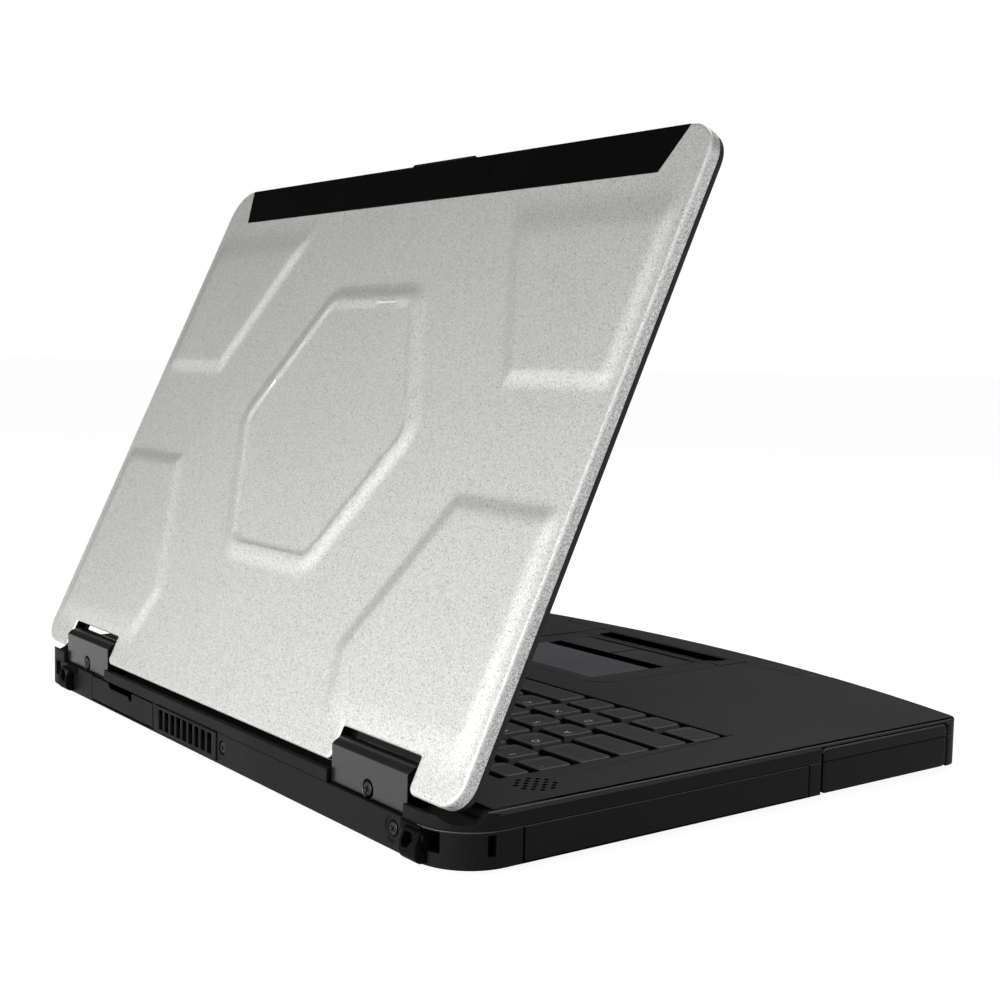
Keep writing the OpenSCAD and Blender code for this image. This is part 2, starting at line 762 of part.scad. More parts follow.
module hinge_covers() {
  x0 = hinge_x - hinge_len / 2;
  x1 = hinge_x + hinge_len / 2;
  color([0.3, 0.31, 0.32])
    both()
      difference() {
        pull_x(x0, x1)
          cover_flat(0, z_seam + seam_gap);
        span(x0 - 1, x1 + 1, hinge_y - cover_r - 1, hinge_y, z_seam, hinge_z - cover_front);
        pull_x(x0 + 1.4, x1 - 1.4)
          cover_flat(cover_t, z_seam - 1);
        translate([x0 - 1, hinge_y, hinge_z])
          rotate([0, 90, 0])
            cylinder(h = hinge_len + 2, r = pin_r + 0.4);
        translate([hinge_x, hinge_y + cover_face + 1, hinge_z - hinge_screw_down])
          rotate([90, 0, 0])
            cylinder(h = cover_t + 2, r = 1.2);
      }
}

module hinge_brackets() {
  x0 = hinge_x - hinge_len / 2 + 2;
  x1 = hinge_x + hinge_len / 2 - 2;
  color([0.1, 0.1, 0.1])
    both()
      difference() {
        union() {
          translate([x0, hinge_y, hinge_z])
            rotate([0, 90, 0])
              cylinder(h = x1 - x0, r = barrel_r);
          span(x0, x1, hinge_y - 4, hinge_y + 3, z_floor, hinge_z - 2);
          span(x0, x1, deck_y1 + 1, hinge_y - 3.9, z_floor, z_floor + 2.2);
        }
        translate([x0 - 1, hinge_y, hinge_z])
          rotate([0, 90, 0])
            cylinder(h = x1 - x0 + 2, r = pin_r + pin_gap);
      }
}

// A cross-head screw lying along +Y, head outwards.
module back_screw(r) {
  rotate([-90, 0, 0])
    difference() {
      union() {
        cylinder(h = 1.2, r = r);
        translate([0, 0, -2])
          cylinder(h = 2.1, r = r * 0.42);
      }
      translate([-r * 0.55, -0.25, 0.7])
        cube([r * 1.1, 0.5, 1]);
      translate([-0.25, -r * 0.55, 0.7])
        cube([0.5, r * 1.1, 1]);
    }
}

module hinge_screws() {
  color([0.45, 0.45, 0.46])
    for (s = [-1, 1])
      translate([s * hinge_x, hinge_y + cover_face, hinge_z - hinge_screw_down])
        back_screw(2.6);
}

module back_screws() {
  color([0.3, 0.3, 0.31])
    for (x = back_screw_x)
      translate([x, y_back - seat_depth, z_bot + screw_up])
        back_screw(screw_r);
}

module latch_catch() {
  zc = lid_z0 - hook_drop + 1.6;
  hx = latch_x - hook_w / 2;
  color([0.6, 0.6, 0.62])
    difference() {
      span(hx - 12, hx + 16, rec_y0, rec_y1, zc, zc + 1);
      span(hx - 1.2, hx + hook_w + hook_toe + 1, rec_y1 - 3.6, rec_y1 + 1, zc - 1, zc + 2);
    }
}

module touchpad() {
  color([0.27, 0.27, 0.29])
    difference() {
      slab(z_deck - pad_t - 0.2, z_deck - 0.2)
        rounded(pad_x - pad_w / 2, pad_x + pad_w / 2, pad_y0, pad_y1, pad_r);
      span(pad_x - button_w / 2 - slide_gap, pad_x + button_w / 2 + slide_gap, btn_y0 - slide_gap,
        btn_y1 + slide_gap, z_deck - 2.2, z_deck + 1);
      for (s = [-1, 1])
        span(pad_x + s * button_w / 4 - 3.3, pad_x + s * button_w / 4 + 3.3, btn_y0 + 4, btn_y0 + 10.6,
          z_seam, z_deck + 1);
      // Sensor surface sunk a little below its frame
      span(pad_x - button_w / 2, pad_x + button_w / 2, btn_y1 + 6, pad_y1 - 8, z_deck - 0.5,
        z_deck + 1);
    }
}

// One touchpad button, from x0 to x1, on its square guide post.
module button(x0, x1) {
  m = (x0 + x1) / 2;
  span(x0, x1, btn_y0, btn_y1, z_deck - 1.3, z_deck - 0.3);
  span(m - 3, m + 3, btn_y0 + 4.3, btn_y0 + 10.3, z_deck - pad_t - 2.2, z_deck - 1.2);
}

module button_left() {
  color([0.26, 0.26, 0.28])
    button(pad_x - button_w / 2, pad_x - 0.3);
}

module button_right() {
  color([0.26, 0.26, 0.28])
    button(pad_x + 0.3, pad_x + button_w / 2);
}

module power_button() {
  color([0.3, 0.3, 0.31])
    translate([power_x, power_y, z_under - 1.6]) {
      cylinder(h = deck_t + 1.4, r = 5, $fn = 32);
      cylinder(h = 1, r = 6.4, $fn = 32);
    }
}

// Key rows: widths in letter keys, each row filling the same field. The row's
// last key takes what the others leave.
function filled(v) = [for (k = v) k * key_pitch, field_w - upto(v, len(v)) * key_pitch];
function keys(n, k) = [for (i = [1:n]) k];
fn_keys = (field_keys - escape_keys) / 15;
row_fn = filled(concat([escape_keys], keys(14, fn_keys)));
row_num = filled(concat([first_keys], keys(12, 1)));
row_tab = filled(concat([tab_keys], keys(12, 1)));
row_caps = filled(concat([caps_keys], keys(11, 1)));
row_shift = filled(concat([shift_keys], keys(10, 1), [field_keys - shift_keys - 11]));
space_keys = field_keys - corner_keys - 3 * left_keys - 3 * right_keys - 3;
row_space = filled(concat([corner_keys], keys(3, left_keys), [space_keys], keys(3, right_keys),
  keys(2, 1)));
function upto(v, i) = i <= 0 ? 0 : v[i - 1] + upto(v, i - 1);
function row_y(n) = well_y0 + 0.8 + (n == 0 ? 0 : n * row_pitch - 0.8);

// One sloped key over its guide post; x0 to x1 and y0 to y1 are its cell.
module key_cell(x0, x1, y0, y1) {
  g = key_gap / 2;
  s = key_slope;
  m = (x0 + x1) / 2;
  n = (y0 + y1) / 2;
  intersection() {
    pull_y(y0 + g, y1 - g)
      polygon([
        [x0 + g, key_z0], [x1 - g, key_z0], [x1 - g, key_z0 + 0.8], [x1 - g - s, key_z1],
        [x0 + g + s, key_z1], [x0 + g, key_z0 + 0.8],
      ]);
    pull_x(x0 + g, x1 - g)
      polygon([
        [y0 + g, key_z0], [y1 - g, key_z0], [y1 - g, key_z0 + 0.8], [y1 - g - s, key_z1],
        [y0 + g + s * 0.7, key_z1], [y0 + g, key_z0 + 0.8],
      ]);
  }
  span(m - post_w / 2, m + post_w / 2, n - post_w / 2, n + post_w / 2, plate_z0 - 0.2, key_z0 + eps);
}

// A row of keys, from key a to key b of the row's width list.
module key_row(v, n, h, a, b) {
  for (i = [a:b])
    key_cell(-field_w / 2 + upto(v, i), -field_w / 2 + upto(v, i + 1), row_y(n), row_y(n) + h);
}

// Guide holes for the same keys.
module key_holes(v, n, h) {
  for (i = [0:len(v) - 1]) {
    m = -field_w / 2 + (upto(v, i) + upto(v, i + 1)) / 2;
    r = post_w / 2 + slide_gap;
    span(m - r, m + r, row_y(n) + h / 2 - r, row_y(n) + h / 2 + r, plate_z0 - 1, plate_z1 + 1);
  }
}
first_h = row_pitch - 0.8;

module key_plate() {
  color([0.06, 0.06, 0.07])
    difference() {
      span(-well_x - 3, well_x + 3, well_y0 - 3, well_y1 + 3, plate_z0, plate_z1);
      key_holes(row_space, 0, first_h);
      key_holes(row_shift, 1, row_pitch);
      key_holes(row_caps, 2, row_pitch);
      key_holes(row_tab, 3, row_pitch);
      key_holes(row_num, 4, row_pitch);
      key_holes(row_fn, 5, fn_pitch);
    }
}

module keys_space_row() {
  color([0.24, 0.24, 0.25]) {
    key_row(row_space, 0, first_h, 0, 3);
    key_row(row_space, 0, first_h, 5, 10);
  }
}

module space_bar() {
  color([0.24, 0.24, 0.25])
    key_row(row_space, 0, first_h, 4, 4);
}

module keys_shift_row() {
  color([0.24, 0.24, 0.25])
    key_row(row_shift, 1, row_pitch, 0, 12);
}

module keys_caps_row() {
  color([0.24, 0.24, 0.25])
    key_row(row_caps, 2, row_pitch, 0, 12);
}

module keys_tab_row() {
  color([0.24, 0.24, 0.25])
    key_row(row_tab, 3, row_pitch, 0, 13);
}

module keys_number_row() {
  color([0.24, 0.24, 0.25])
    key_row(row_num, 4, row_pitch, 0, 13);
}

module keys_function_row() {
  color([0.24, 0.24, 0.25])
    key_row(row_fn, 5, fn_pitch, 0, 15);
}

module main_board() {
  x0 = -x_side + drive_len + 4;
  x1 = x_side - 30;
  color([0.05, 0.2, 0.12])
    difference() {
      span(x0, x1, batt_y1 + 6, y_back - 26, z_board, z_board + board_t);
      translate([vent_x, fan_y(), z_board - 1])
        cylinder(h = board_t + 2, r = fan_r + 4.2);
      span(x0 - 1, vent_x + vent_w / 2 + 3, fan_y(), y_back, z_board - 1, z_board + board_t + 1);
    }
  // Posts that carry the board
  color([0.6, 0.55, 0.3])
    for (x = [x0 + 6, x1 - 10])
      for (y = [batt_y1 + 12, fan_y() - 30])
        span(x - 3, x + 3, y - 3, y + 3, z_floor, z_board);
}

module processor() {
  color([0.5, 0.5, 0.52])
    span(vent_x + 46, vent_x + 78, fan_y() - 40, fan_y() - 8, z_board + board_t,
      z_board + board_t + 1.6);
}

module heat_sink() {
  z = z_board + board_t + 1.6;
  fins = 16;
  pitch = (vent_w - 10) / fins;
  color([0.72, 0.45, 0.25]) {
    span(vent_x + 44, vent_x + 80, fan_y() - 42, fan_y() - 6, z, z + 1);
    span(vent_x + 56, vent_x + 63, fan_y() - 7, y_back - 12, z, z + 1);
    span(vent_x - 23, vent_x + 63, y_back - 17, y_back - 11, z, z + 1);
  }
  color([0.75, 0.75, 0.77])
    for (i = [0:fins])
      span(vent_x - 23 + pitch * i - 0.4, vent_x - 23 + pitch * i + 0.4, y_back - 19, y_back - wall - 1.5,
        z_floor, z + 0.5);
}

module fan_case() {
  z1 = z_board + board_t + 0.8;
  color([0.1, 0.1, 0.11])
    difference() {
      union() {
        translate([vent_x, fan_y(), z_floor])
          cylinder(h = z1 - z_floor, r = fan_r + 3.2);
        span(vent_x - fan_r - 3.2, vent_x + fan_r + 3.2, fan_y(), y_back - 19.6, z_floor, z1);
      }
      translate([vent_x, fan_y(), z_floor + 0.8])
        cylinder(h = z1, r = fan_r + 2);
      span(vent_x - fan_r - 2, vent_x + fan_r + 2, fan_y(), y_back, z_floor + 0.8, z1 + 1);
      for (i = [-4:4])
        span(vent_x - 16, vent_x + 16, fan_y() + 4 * i - 1, fan_y() + 4 * i + 1, z_floor - 1,
          (abs(i) > 1) ? z_floor + 1 : z_floor - 0.5);
    }
  // Stub shaft of the fan
  color([0.6, 0.6, 0.62])
    translate([vent_x, fan_y(), z_floor + 0.6])
      cylinder(h = 3.5, r = 1.5, $fn = 32);
}

module fan_rotor() {
  z0 = z_floor + 1.3;
  color([0.16, 0.16, 0.17])
    difference() {
      union() {
        translate([vent_x, fan_y(), z0])
          cylinder(h = 3.6, r = 8);
        for (i = [0:fan_blades - 1])
          translate([vent_x, fan_y(), z0 + 0.3])
            rotate([0, 0, 360 * i / fan_blades])
              translate([7.5, -1, 0])
                rotate([0, 0, -18])
                  cube([fan_r - 8, 0.9, 2.9]);
      }
      translate([vent_x, fan_y(), z0 - 1])
        cylinder(h = 4, r = 1.5 + pin_gap, $fn = 32);
    }
}

module memory_module() {
  x0 = x_side - 66.5;
  z = z_board + board_t;
  color([0.05, 0.25, 0.14])
    span(x0, x0 + 48, fan_y() - 10, fan_y() + 16, z + 1.2, z + 2.2);
  color([0.08, 0.08, 0.08]) {
    span(x0 - 2, x0 + 50, fan_y() - 16, fan_y() - 9, z, z + 2.8);
    for (i = [0:3])
      span(x0 + 3 + 11.4 * i, x0 + 12 + 11.4 * i, fan_y() - 5, fan_y() + 9, z + 2.2, z + 3);
  }
}

module back_ports() {
  color([0.62, 0.62, 0.64])
    for (i = [0:2])
      difference() {
        span(door_x0 + 5 + 15 * i, door_x0 + 17 + 15 * i, y_back - 10.6, y_back - wall - 0.4,
          z_floor, z_floor + 6.4);
        span(door_x0 + 5.6 + 15 * i, door_x0 + 16.4 + 15 * i, y_back - 9.4, y_back,
          z_floor + 0.8, z_floor + 5.6);
      }
  color([0.05, 0.05, 0.06])
    for (i = [0:2])
      span(door_x0 + 7 + 15 * i, door_x0 + 15 + 15 * i, y_back - 9.4 - eps, y_back - wall - 1.4,
        z_floor + 2.4, z_floor + 4);
}

module speakers() {
  color([0.09, 0.09, 0.1])
    both()
      difference() {
        span(-x_side + 6, -well_x - 4, y_back - speaker_back - 14, y_back - speaker_back + 14,
          z_under - 3.4, z_under);
        translate([speaker_in - x_side, y_back - speaker_back, z_under - 1])
          cylinder(h = 2, r = 8);
      }
}

module lock_slot() {
  y0 = y_back - 17;
  y1 = y_back - 14;
  color([0.5, 0.5, 0.52])
    difference() {
      span(-x_side + wall + 1.8, -x_side + wall + 3.8, y0 - 4, y1 + 1, z_floor, z_bot + 12);
      span(-x_side, -x_side + wall + 5, y0, y1 + 2, z_bot + 4.2, z_bot + 11);
    }
}

module front_handle() {
  z0 = z_bot + handle_lift;
  color([0.18, 0.18, 0.19]) {
    slab(z0, z_deck)
      intersection() {
        translate([0, y_front + bow_radius])
          circle(bow_radius, $fn = 720);
        handle_flat(0);
      }
    both()
      span(arm_x - arm_w / 2, arm_x + arm_w / 2, handle_y1 - 0.5, handle_y1 + arm_len, z0, z0 + arm_t);
  }
}

module port_door() {
  zp = door_z0 + door_t / 2;
  color([0.17, 0.17, 0.18])
    difference() {
      union() {
        span(door_x0, door_x1, y_back - door_t, y_back, zp, door_z0 + door_h);
        translate([door_x0, y_back - door_t / 2, zp])
          rotate([0, 90, 0])
            cylinder(h = door_x1 - door_x0, r = door_t / 2, $fn = 32);
      }
      // Finger notch in the top edge, with a round end
      pull_y(y_back - finger_depth, y_back + 1) {
        polygon([
          [door_x0 + 22, door_z0 + door_h + 1], [door_x0 + 22, door_z0 + door_h - 2],
          [door_x0 + 45, door_z0 + door_h - 2], [door_x0 + 48, door_z0 + door_h + 1],
        ]);
        translate([door_x0 + 23.5, door_z0 + door_h - 2])
          circle(1.8);
      }
    }
}

module side_door() {
  zp = door_z0 + door_t / 2;
  color([0.17, 0.17, 0.18])
    union() {
      span(x_side - door_t, x_side, side_y0, side_y1, zp, door_z0 + door_h);
      translate([x_side - door_t / 2, side_y0, zp])
        rotate([-90, 0, 0])
          cylinder(h = side_y1 - side_y0, r = door_t / 2, $fn = 32);
    }
}

module side_ports() {
  color([0.62, 0.62, 0.64])
    for (i = [0:2])
      difference() {
        span(x_side - 22, x_side - wall - 0.4, side_y0 + 6 + 21 * i, side_y0 + 22 + 21 * i, z_floor,
          z_floor + 6.4);
        span(x_side - 12, x_side, side_y0 + 6.7 + 21 * i, side_y0 + 21.3 + 21 * i, z_floor + 0.8,
          z_floor + 5.6);
      }
  color([0.05, 0.05, 0.06])
    for (i = [0:2])
      span(x_side - 12 - eps, x_side - wall - 1.4, side_y0 + 8 + 21 * i, side_y0 + 20 + 21 * i,
        z_floor + 2.4, z_floor + 4);
}

// A latch bar in the underside, held by a wider plate above the floor.
module under_latch(p) {
  l = under_latch_len / 2;
  span(p[0] - l, p[0] + l, p[1] - 3.5, p[1] + 3.5, z_bot + 0.3, z_floor + 0.4);
  span(p[0] - l - 1, p[0] + l + 1, p[1] - 6, p[1] + 6, z_floor + 0.2, z_floor + 1.4);
}

module battery_release() {
  color([0.3, 0.3, 0.31])
    under_latch(batt_latch);
}

module drive_release() {
  color([0.3, 0.3, 0.31])
    under_latch(drive_latch);
}

module battery() {
  color([0.12, 0.12, 0.13])
    union() {
      span(-x_side + 6, -x_side + batt_len, batt_y0 + 0.6, batt_y1 - 0.6, z_floor + 0.2, z_bot + batt_in_h);
      span(-x_side + 6, -x_side + batt_len, batt_y0 + 4.4, batt_y1 - 4.4, z_bot + 0.2, z_floor + 0.3);
    }
}

module battery_end() {
  color([0.2, 0.2, 0.21])
    pull_x(-x_side, -x_side + 6)
      rounded(batt_y0, batt_y1, z_bot + 0.2, z_bot + batt_h, 2.4);
}

module optical_drive() {
  color([0.55, 0.55, 0.57])
    span(-x_side + 2.4, -x_side + drive_len, drive_y0 + 1, drive_y1 - 1, z_floor + 0.1,
      z_bot + drive_h);
}

module drive_front() {
  color([0.18, 0.18, 0.19])
    span(-x_side, -x_side + 2.4, drive_y0, drive_y1, z_bot + 0.4, z_seam - seam_gap);
}

module storage_caddy() {
  color([0.18, 0.18, 0.19])
    pull_x(x_side - 6, x_side)
      translate([batt_y0, z_floor])
        square([caddy_w, batt_h - floor_t - 1.2 - seam_gap]);
  color([0.5, 0.5, 0.52])
    span(x_side - caddy_len, x_side - 6, batt_y0 + 2, batt_y0 + caddy_w - 4, z_floor, z_floor + 9.5);
}

// Outline of the lid from above with the lid shut, drawn in by i.
module lid_flat(i) {
  difference() {
    union() {
      translate([-lid_x + i, lid_y0 - lid_len / 2])
        square([2 * (lid_x - i), lid_len / 2 - lid_hinge_r]);
      translate([-lid_x + lid_hinge_r, lid_y0 - lid_hinge_r - 1])
        square([2 * (lid_x - lid_hinge_r), lid_hinge_r + 1 - i]);
      translate([-lid_x + i, lid_y0 - lid_len + lid_free_r])
        square([2 * (lid_x - i), lid_len / 2 - lid_free_r + 1]);
      translate([-lid_x + lid_free_r, lid_y0 - lid_len + i])
        square([2 * (lid_x - lid_free_r), lid_free_r + 1]);
      for (s = [-1, 1]) {
        translate([s * (lid_x - lid_hinge_r), lid_y0 - lid_hinge_r])
          circle(lid_hinge_r - i);
        translate([s * (lid_x - lid_free_r), lid_y0 - lid_len + lid_free_r])
          circle(lid_free_r - i);
      }
    }
    for (s = [-1, 1])
      translate([s * hinge_x - hinge_len / 2 - notch_gap - i, lid_y0 - notch_depth - i])
        square([hinge_len + 2 * (notch_gap + i), notch_depth + i + 1]);
  }
}

// One end of the aerial strip's plan, grown by g.
module strip_flat(x0, x1, g) {
  y0 = lid_y0 - lid_len + 0.4;
  intersection() {
    polygon([
      [-strip_len / 2 - g, y0 - g], [strip_len / 2 + g, y0 - g],
      [strip_len / 2 - strip_taper + g, y0 + strip_w + g],
      [-strip_len / 2 + strip_taper - g, y0 + strip_w + g],
    ]);
    translate([x0 - g, y0 - 2])
      square([x1 - x0 + 2 * g, strip_w + 4]);
  }
}

// One level-topped ridge section, its foot h wide of the top edge on each side.
module ridge(w, len, b, h) {
  pull_x(-len, len)
    polygon([[-w - b, 0], [w + b, 0], [w, h], [-w, h]]);
}

// Raised hexagon on the lid.
module hexagon(inset, b, z, h) {
  a = atan2(hex_half, hex_x - hex_level_x);
  d = hex_x * sin(a);
  translate([0, hex_y, z])
    intersection() {
      ridge(hex_half - inset - b, 2 * hex_x, b, h);
      rotate([0, 0, a])
        ridge(d - inset - b, 2 * hex_x, b, h);
      rotate([0, 0, -a])
        ridge(d - inset - b, 2 * hex_x, b, h);
    }
}

// Cuts a sloped edge along a line through x and y; what lies left of the line is cut away.
module edge_cut(x, y, ang) {
  w = relief_bevel * 3 / relief_h;
  translate([x, y, lid_z2])
    rotate([0, 0, ang])
      pull_x(-lid_len, lid_len)
        polygon([[-w, 3], [0, 0], [0, -1], [lid_len, -1], [lid_len, 3]]);
}

// Four raised panels in the corners of the lid, every edge sloped.
module corner_panels() {
  s_end = lid_len - strip_w - 3.7;
  both() {
    difference() {
      slab(lid_z2 - eps, lid_z2 + relief_h)
        intersection() {
          lid_flat(2.6);
          translate([hex_x - 10, lid_y0 - s_end])
            square([lid_x - hex_x + 6, hex_y - panel_hi - lid_y0 + s_end + 5]);
        }
      edge_cut(0, hex_y - panel_hi + 5, 0);
      edge_cut(panel_x - 3, hex_y - hex_half * 0.87, 63);
      edge_cut(0, lid_y0 - s_end, 180);
      edge_cut(lid_x - 2.6, 0, -90);
    }
    difference() {
      slab(lid_z2 - eps, lid_z2 + relief_h)
        intersection() {
          lid_flat(2.6);
          translate([hex_x - 10, hex_y + panel_lo - 5])
            square([lid_x - hex_x + 6, lid_y0 - panel_in - hex_y - panel_lo + 5]);
        }
      edge_cut(0, hex_y + panel_lo - 4, 180);
      edge_cut(panel_x - 5.5, hex_y + hex_half * 0.89, 121);
      edge_cut(0, lid_y0 - panel_in, 0);
      edge_cut(lid_x - 2.6, 0, -90);
    }
  }
}

module lid_shell() {
  lx0 = latch_x - latch_len / 2 - slide_gap;
  lx1 = latch_x + latch_len / 2 + latch_travel + slide_gap;
  ly1 = lid_y0 - lid_len + latch_w + slide_gap;
  color([0.78, 0.78, 0.76])
    lid_turn()
      difference() {
        union() {
          slab(lid_z1, lid_z2 - lid_bevel)
            lid_flat(0);
          slab(lid_z2 - lid_bevel - eps, lid_z2)
            lid_flat(lid_bevel * 0.6);
          hexagon(0, relief_bevel, lid_z2 - eps, relief_h + eps);
          corner_panels();
        }
        slab(lid_z1 - 1, lid_z2 - shell_wall)
          difference() {
            lid_flat(rim_w);
            translate([lx0 - 1.4, lid_y0 - lid_len])
              square([lx1 - lx0 + 2.8, ly1 + 1.4 - lid_y0 + lid_len]);
          }
        // Crisp inner panel of the hexagon
        hexagon(relief_bevel + 1, 0, lid_z2 + relief_h - hex_step, 2);
        // Seat of the dark aerial strip
        slab(lid_z2 - strip_t, lid_z2 + 3)
          strip_flat(-lid_x, lid_x, seam_gap);
        // Pocket of the latch slider
        span(lx0, lx1, lid_y0 - lid_len - 1, ly1, lid_z1 - 1, lid_z1 + latch_t - 0.6 + slide_gap);
        // Pin holes through the outer walls of the notches
        both()
          translate([hinge_x, hinge_y, hinge_z])
            rotate([0, 90, 0])
              cylinder(h = hinge_len / 2 + 9, r = pin_r + 0.15);
      }
}

module lid_frame() {
  fs = lid_y0 - view_s;
  hx = latch_x - hook_w / 2;
  color([0.07, 0.07, 0.07])
    lid_turn()
      difference() {
        slab(lid_z0, lid_z1)
          lid_flat(0.3);
        span(-view_w / 2, view_w / 2, fs - view_h, fs, lid_z0 - 1, lid_z1 + 1);
        // Slot of the latch hook
        span(hx - slide_gap, hx + hook_w + hook_toe + latch_travel + slide_gap,
          lid_y0 - lid_len + 0.6 - slide_gap, lid_y0 - lid_len + 2.2 + slide_gap, lid_z0 - 1,
          lid_z1 + 1);
        both()
          translate([hinge_x, hinge_y, hinge_z])
            rotate([0, 90, 0])
              cylinder(h = hinge_len / 2 + 9, r = pin_r + 0.15);
        // Seats of the small rubber bumpers
        bumper_seats(3.1, -1, 1.6);
      }
}

// Discs where the lid's bumpers sit, from dz above the frame's face, h high.
module bumper_seats(r, dz, h) {
  both() {
    for (x = [bumper_x[0], bumper_x[2]])
      translate([x, lid_y0 - lid_len + 14.9, lid_z0 + dz])
        cylinder(h = h, r = r, $fn = 24);
    translate([bumper_x[1], lid_y0 - 20, lid_z0 + dz])
      cylinder(h = h, r = r, $fn = 24);
  }
}

module display_panel() {
  fs = lid_y0 - view_s;
  color([0.03, 0.03, 0.04])
    lid_turn()
      union() {
        span(-view_w / 2 - 5, view_w / 2 + 5, fs - view_h - 5, fs + 5, lid_z1, lid_z1 + panel_t);
        span(-view_w / 2 + 0.2, view_w / 2 - 0.2, fs - view_h + 0.2, fs - 0.2, lid_z1 - 1, lid_z1 + 0.1);
      }
}

module aerial_strip() {
  color([0.06, 0.06, 0.06])
    lid_turn()
      slab(lid_z2 - strip_t, lid_z2 + 0.1) {
        strip_flat(-lid_x, -strip_mid_x - 0.1, 0);
        strip_flat(strip_mid_x + 0.1, lid_x, 0);
      }
}

module strip_middle() {
  color([0.07, 0.07, 0.07])
    lid_turn()
      slab(lid_z2 - strip_t, lid_z2 + 0.25)
        strip_flat(-strip_mid_x, strip_mid_x, 0);
}

module hinge_arms() {
  x0 = hinge_x + hinge_len / 2 + notch_gap + rim_w + 0.4;
  color([0.6, 0.6, 0.6])
    lid_turn()
      both() {
        translate([hinge_x - hinge_len / 2 + 3, hinge_y, hinge_z])
          rotate([0, 90, 0])
            cylinder(h = x0 + 4 - hinge_x + hinge_len / 2 - 3, r = pin_r, $fn = 32);
        span(x0, lid_x - lid_hinge_r, lid_y0 - 15, lid_y0 - rim_w - 0.3, lid_z1, lid_z1 + 1.5);
        span(view_w / 2 + 5.5, lid_x - 5, lid_y0 - 58, lid_y0 - 14.9, lid_z1, lid_z1 + 1.5);
      }
}

module lid_bumpers() {
  color([0.05, 0.05, 0.05])
    lid_turn()
      bumper_seats(3, -0.2, 0.8);
}

module lid_latch() {
  x0 = latch_x - latch_len / 2;
  y0 = lid_y0 - lid_len;
  hx = latch_x - hook_w / 2;
  color([0.7, 0.7, 0.7])
    lid_turn() {
      span(x0, x0 + latch_len, y0 - 0.7, y0 + latch_w, lid_z1 + 0.1, lid_z1 + latch_t - 0.6);
      span(hx, hx + hook_w, y0 + 0.6, y0 + 2.2, lid_z0 - hook_drop, lid_z1 + 0.2);
      span(hx, hx + hook_w + hook_toe, y0 + 0.6, y0 + 2.2, lid_z0 - hook_drop,
        lid_z0 - hook_drop + 1.1);
    }
}

bottom_case();
top_case();
rubber_feet();
exhaust_grille();
tether_loops();
hinge_covers();
hinge_brackets();
hinge_screws();
back_screws();
key_plate();
touchpad();
latch_catch();
button_left();
button_right();
power_button();
keys_space_row();
space_bar();
keys_shift_row();
keys_caps_row();
keys_tab_row();
keys_number_row();
keys_function_row();
main_board();
processor();
heat_sink();
fan_case();
fan_rotor();
memory_module();
back_ports();
speakers();
lock_slot();
front_handle();
port_door();
side_door();
side_ports();
battery_release();
drive_release();
battery();
battery_end();
optical_drive();
drive_front();
storage_caddy();
lid_shell();
lid_frame();
display_panel();
aerial_strip();
strip_middle();
hinge_arms();
lid_bumpers();
lid_latch();
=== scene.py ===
import bpy, bmesh, math
import numpy as np
from mathutils import Matrix, Vector
from mathutils.geometry import delaunay_2d_cdt


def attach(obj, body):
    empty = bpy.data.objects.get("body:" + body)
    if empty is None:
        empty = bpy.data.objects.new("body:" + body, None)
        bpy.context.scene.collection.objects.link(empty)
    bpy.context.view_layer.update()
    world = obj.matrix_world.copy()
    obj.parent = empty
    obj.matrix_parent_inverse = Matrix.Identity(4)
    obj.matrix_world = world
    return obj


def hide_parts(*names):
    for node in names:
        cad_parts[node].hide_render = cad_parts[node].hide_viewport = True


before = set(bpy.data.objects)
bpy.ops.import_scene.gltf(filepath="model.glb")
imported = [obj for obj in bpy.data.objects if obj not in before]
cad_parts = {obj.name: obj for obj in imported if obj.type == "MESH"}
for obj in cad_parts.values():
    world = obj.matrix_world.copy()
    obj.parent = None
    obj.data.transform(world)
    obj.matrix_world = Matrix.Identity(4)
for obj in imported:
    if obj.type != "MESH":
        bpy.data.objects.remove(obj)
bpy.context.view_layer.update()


# ---------------------------------------------------------------- bottom case
# Injection-moulded tray of charcoal plastic with a fine spark-eroded grain. It carries the
# side mouths, back openings and handle sleeves, and its moulded edges are slightly rounded.
class Wire:
    """One socket of a shader tree, usable in plain sums."""

    def __init__(self, owner, socket):
        self.owner, self.socket = owner, socket

    def _do(self, operation, *values):
        return self.owner.node("ShaderNodeMath", {"operation": operation}, *values)

    def __add__(self, other):
        return self._do("ADD", self, other)

    __radd__ = __add__

    def __mul__(self, other):
        return self._do("MULTIPLY", self, other)

    __rmul__ = __mul__

    def __sub__(self, other):
        return self._do("SUBTRACT", self, other)

    def __rsub__(self, other):
        return self._do("SUBTRACT", other, self)

    def __abs__(self):
        return self._do("ABSOLUTE", self)

    def at_least(self, other):
        return self._do("MAXIMUM", self, other)

    def root(self):
        return self._do("SQRT", self)

    def ramp(self, low, high, to_low=0.0, to_high=1.0):
        """Goes from to_low to to_high while the value goes from low to high."""
        return self.owner.node("ShaderNodeMapRange", {"clamp": True}, self, low, high, to_low,
                               to_high)


class Tree:
    """Adds nodes to one shader tree and links them."""

    def __init__(self, tree):
        self.tree = tree

    def node(self, kind, settings, *values, out=0, **named):
        """A new node: its settings, then values or links of its sockets by place or by name."""
        made = self.tree.nodes.new(kind)
        for key, value in settings.items():
            setattr(made, key, value)
        pairs = [(made.inputs[i], v) for i, v in enumerate(values)]
        pairs += [(made.inputs[k.replace("_", " ")], v) for k, v in named.items()]
        for socket, value in pairs:
            self.join(socket, value)
        return Wire(self, made.outputs[out])

    def join(self, socket, value):
        if isinstance(value, Wire):
            self.tree.links.new(value.socket, socket)
        elif value is not None:
            socket.default_value = value


